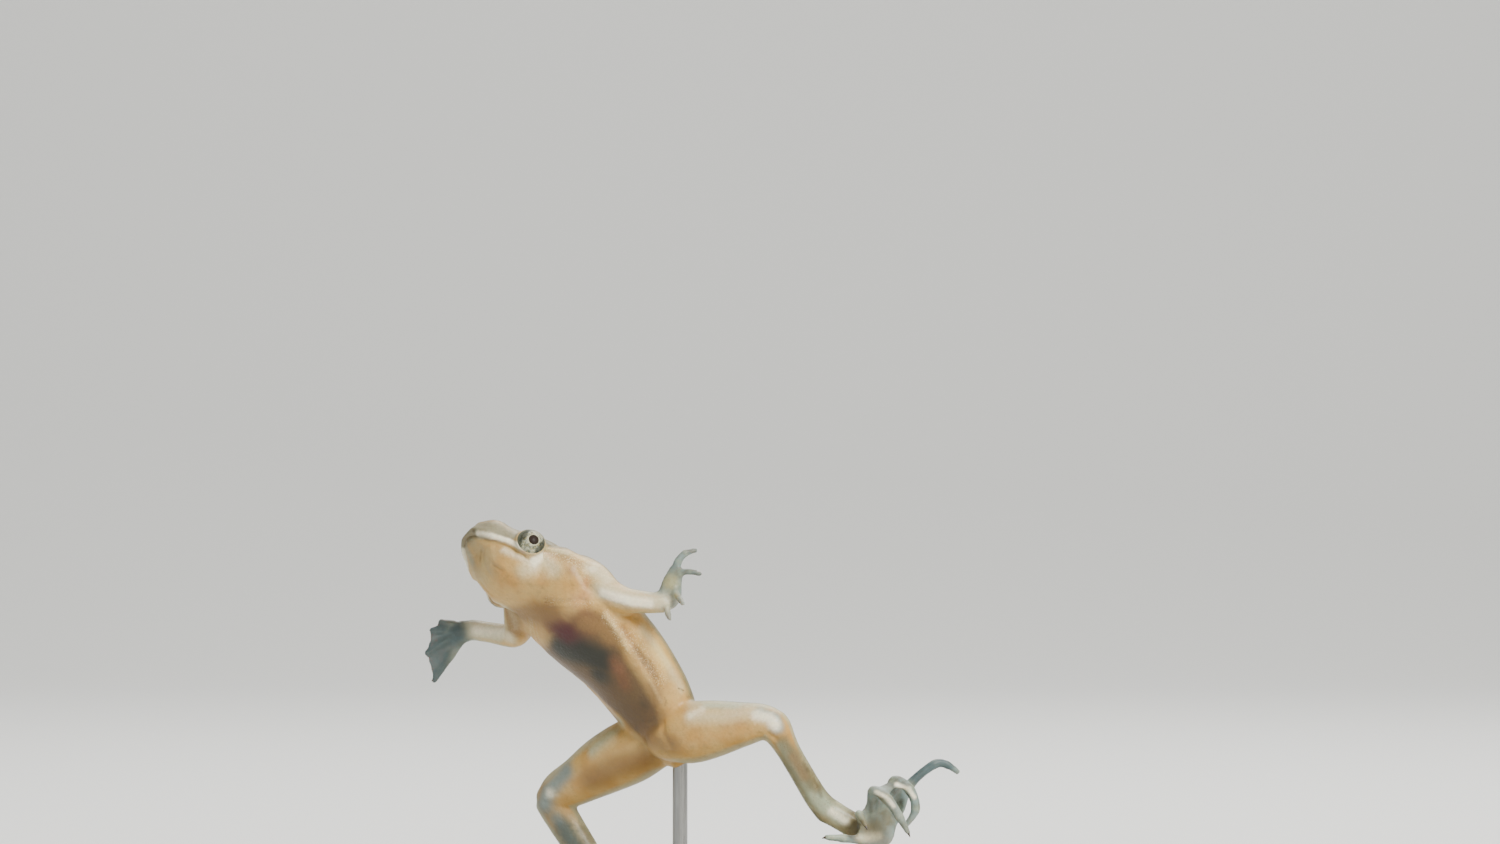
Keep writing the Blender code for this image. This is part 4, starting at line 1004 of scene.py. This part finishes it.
def eyeMaterial():
    look = eyeFinish
    f = Finish("frogEye", {"Coat Weight": 0.03, "Coat Roughness": 0.08, "Specular IOR Level": 0.03})
    polar = f.read("polar") * 180.0
    fibres = f.noise(2.6, 5.0, 0.7)
    colour = f.mix(f.between(0.4, 0.6, fibres), look["edge"], look["iris"])
    colour = f.mix(f.between(0.5, 0.62, f.noise(6.0, 2.0)) * 0.5, colour, look["gold"])
    blotches = f.between(0.2, 0.75, f.read("bar") + (f.noise(1.6, 4.0, 0.7) - 0.5) * 1.2)
    dots = 1 - f.between(0.12, 0.34, f.cells(5.5))
    colour = f.mix(blotches * 0.8, colour, look["irisDark"])
    colour = f.mix(dots * 0.65, colour, look["irisDark"])
    offRing = f.add("ShaderNodeMath", {"operation": "ABSOLUTE"}, {0: polar - eyeForm["ring"]})
    ring = 1 - f.between(0.4, 1.6, offRing)
    colour = f.mix(ring * 0.7, colour, look["ring"])
    colour = f.mix(f.between(44.0, 66.0, polar) * 0.6, colour, look["edge"])
    offPupil = f.between(eyeForm["pupil"] - 1.0, eyeForm["pupil"] + 1.0, polar)
    colour = f.mix(1 - offPupil, colour, look["pupil"])
    f.feedShader(Base_Color=colour, Roughness=0.3 + fibres * 0.1, Normal=f.bump(fibres, 0.02, 0.25))
    return f.material


eyeLook = eyeMaterial()
for side, word in ((1, "left"), (-1, "right")):
    ball = bmesh.new()
    turn = eyeWay(side, "gaze").to_track_quat("Z", "Y").to_matrix().to_4x4()
    bmesh.ops.create_uvsphere(ball, u_segments=eyeForm["segments"], v_segments=eyeForm["rings"],
                              radius=headForm["eyeRadius"])
    eye = meshPiece("eye_" + word + "_ball", ball)
    flat = readRows(eye.data.vertices, "co")
    polar = np.degrees(np.arccos(np.clip(flat[:, 2] / headForm["eyeRadius"], -1, 1)))
    flat *= (1 + eyeForm["bulge"] * bell(polar, eyeForm["bulgeReach"]))[:, None]
    eye.data.vertices.foreach_set("co", flat.ravel())
    layAttribute(eye, "polar", polar / 180)
    eye.data.transform(turn)
    along = np.abs(readRows(eye.data.vertices, "co") @ trunk.ways[eyeIndex]) / headForm["eyeRadius"]
    layAttribute(eye, "bar", softStep(*eyeForm["bar"], along))
    eye.data.transform(Matrix.Translation(eyePlace(side)))
    finishPiece(eye, eyeLook, "eye", "eye_" + word)
print("eyes finished")


# The dark claws on the three inner toes of each hind foot

clawForm = {"length": 0.5, "radius": 0.19, "tip": 0.03, "hook": 0.14, "root": 0.1, "sides": 12}


def clawMaterial():
    f = Finish("frogClaw", {"Roughness": 0.3})
    worn = f.noise(4.0, 3.0)
    f.feedShader(Base_Color=f.mix(worn, tone(30, 24, 20), tone(74, 60, 46)),
                 Normal=f.bump(worn, 0.02, 0.3))
    return f.material


claws = bmesh.new()
for name in ("footLeft", "footRight"):
    for points in pawForms[name]["digits"][:3]:
        rows = smoothRun(points, 8)
        way = directionsOf(rows[:, :3])[-1]
        start = rows[-1][:3] - way * clawForm["root"]
        steps = []
        for t in (0.0, 0.25, 0.5, 0.75, 1.0):
            place = start + way * clawForm["length"] * t + np.array([0, 0, -clawForm["hook"]]) * t * t
            thick = max(clawForm["radius"] * (1 - t) ** 0.7, clawForm["tip"])
            steps.append((*place, thick, thick))
        addSweep(claws, steps, clawForm["sides"], limbAxes)
bmesh.ops.recalc_face_normals(claws, faces=claws.faces)
claw = meshPiece("claws", claws)
finishPiece(claw, clawMaterial(), "claw")
print("claws finished")


# The stand keeps its solids and takes better finishes

standFinish = {"woodDark": tone(34, 25, 20), "woodLight": tone(62, 46, 36),
               "metal": tone(176, 176, 174), "metalDark": tone(120, 120, 118)}


def woodMaterial():
    f = Finish("standWood", {"Coat Weight": 0.3, "Coat Roughness": 0.2})
    stretched = f.add("ShaderNodeMapping", values={"Vector": f.place(), "Scale": (1.0, 9.0, 9.0)})
    grain = f.add("ShaderNodeTexNoise", values={"Vector": stretched, "Scale": 0.06 / mm, "Detail": 6.0,
                                                "Roughness": 0.6, "Distortion": 1.2})
    pores = f.add("ShaderNodeTexNoise", values={"Vector": stretched, "Scale": 0.5 / mm, "Detail": 3.0})
    colour = f.mix(f.between(0.35, 0.65, grain), standFinish["woodDark"], standFinish["woodLight"])
    f.feedShader(Base_Color=colour, Roughness=0.36 + pores * 0.18, Normal=f.bump(grain, 0.08, 0.25))
    return f.material


def metalMaterial():
    f = Finish("standMetal", {"Metallic": 1.0})
    brushed = f.add("ShaderNodeTexNoise", values={
        "Vector": f.add("ShaderNodeMapping", values={"Vector": f.place(), "Scale": (8.0, 8.0, 0.6)}),
        "Scale": 0.6 / mm, "Detail": 4.0})
    f.feedShader(Base_Color=f.mix(brushed, standFinish["metalDark"], standFinish["metal"]),
                 Roughness=0.22 + brushed * 0.16, Normal=f.bump(brushed, 0.01, 0.2))
    return f.material


wood = woodMaterial()
metal = metalMaterial()
for name, look in (("stand_base", wood), ("stand_collar", metal), ("stand_rod", metal)):
    node = frame["nodes"][name]
    if node.data.materials:
        node.data.materials[0] = look
    else:
        node.data.materials.append(look)
print("stand finished")


# Floor, light and camera

studio = {"floor": 3.0, "bend": 0.6, "back": 0.7, "wall": 2.0, "pale": tone(226, 226, 222)}
sweep = bmesh.new()
bmesh.ops.create_grid(sweep, x_segments=1, y_segments=1, size=studio["floor"] / 2)
bmesh.ops.translate(sweep, verts=sweep.verts, vec=(0, studio["back"] - studio["floor"] / 2, 0))
edge = [e for e in sweep.edges if all(v.co.y > studio["back"] - 0.01 for v in e.verts)]
bmesh.ops.spin(sweep, geom=edge, cent=(0, studio["back"], studio["bend"]), axis=(1, 0, 0), dvec=(0, 0, 0),
               angle=math.radians(90), steps=24, use_duplicate=False)
edge = [e for e in sweep.edges if all(v.co.z > studio["bend"] - 0.01 for v in e.verts)]
wall = bmesh.ops.extrude_edge_only(sweep, edges=edge)["geom"]
wall = [item for item in wall if isinstance(item, bmesh.types.BMVert)]
bmesh.ops.translate(sweep, verts=wall, vec=(0, 0, studio["wall"]))
floor = meshPiece("floor", sweep)
floor.data.shade_smooth()
pale = Finish("paleFloor", {"Base Color": studio["pale"], "Roughness": 0.7})
floor.data.materials.append(pale.material)

# each lamp's place and the place it is turned to, in metres, its size, its power and its tint
lamps = {
    "key": ((0.34, -0.46, 0.5), (0.0, 0.0, 0.04), 0.3, 10.5, (1.0, 0.97, 0.92)),
    "fill": ((-0.6, -0.6, 0.2), (0.0, 0.0, 0.04), 0.6, 1.0, (0.9, 0.96, 1.0)),
    "rim": ((0.1, 0.4, 0.5), (0.0, 0.0, 0.04), 0.35, 3.0, (1.0, 1.0, 1.0)),
    "wash": ((0.0, 0.35, 1.0), (0.0, 1.1, 0.1), 0.7, 9.0, (1.0, 1.0, 1.0)),
}
for name, (at, to, size, power, tint) in lamps.items():
    data = bpy.data.lights.new(name, "AREA")
    data.energy = power
    data.size = size
    data.color = tint
    light = bpy.data.objects.new(name, data)
    light.location = at
    light.rotation_euler = (Vector(to) - light.location).to_track_quat("-Z", "Y").to_euler()
    bpy.context.scene.collection.objects.link(light)

world = bpy.data.worlds.new("studio")
world.use_nodes = True
world.node_tree.nodes["Background"].inputs["Color"].default_value = (0.9, 0.93, 0.96, 1.0)
world.node_tree.nodes["Background"].inputs["Strength"].default_value = 0.2
bpy.context.scene.world = world

lensData = bpy.data.cameras.new("view")
lensData.lens = camera["lens"]
lensData.clip_start = 0.01
view = bpy.data.objects.new("view", lensData)
view.location = (camera["x"] * mm, -camera["distance"] * mm, camera["height"] * mm)
view.rotation_euler = (math.radians(90), 0, 0)
bpy.context.scene.collection.objects.link(view)
bpy.context.scene.camera = view
print("studio set")
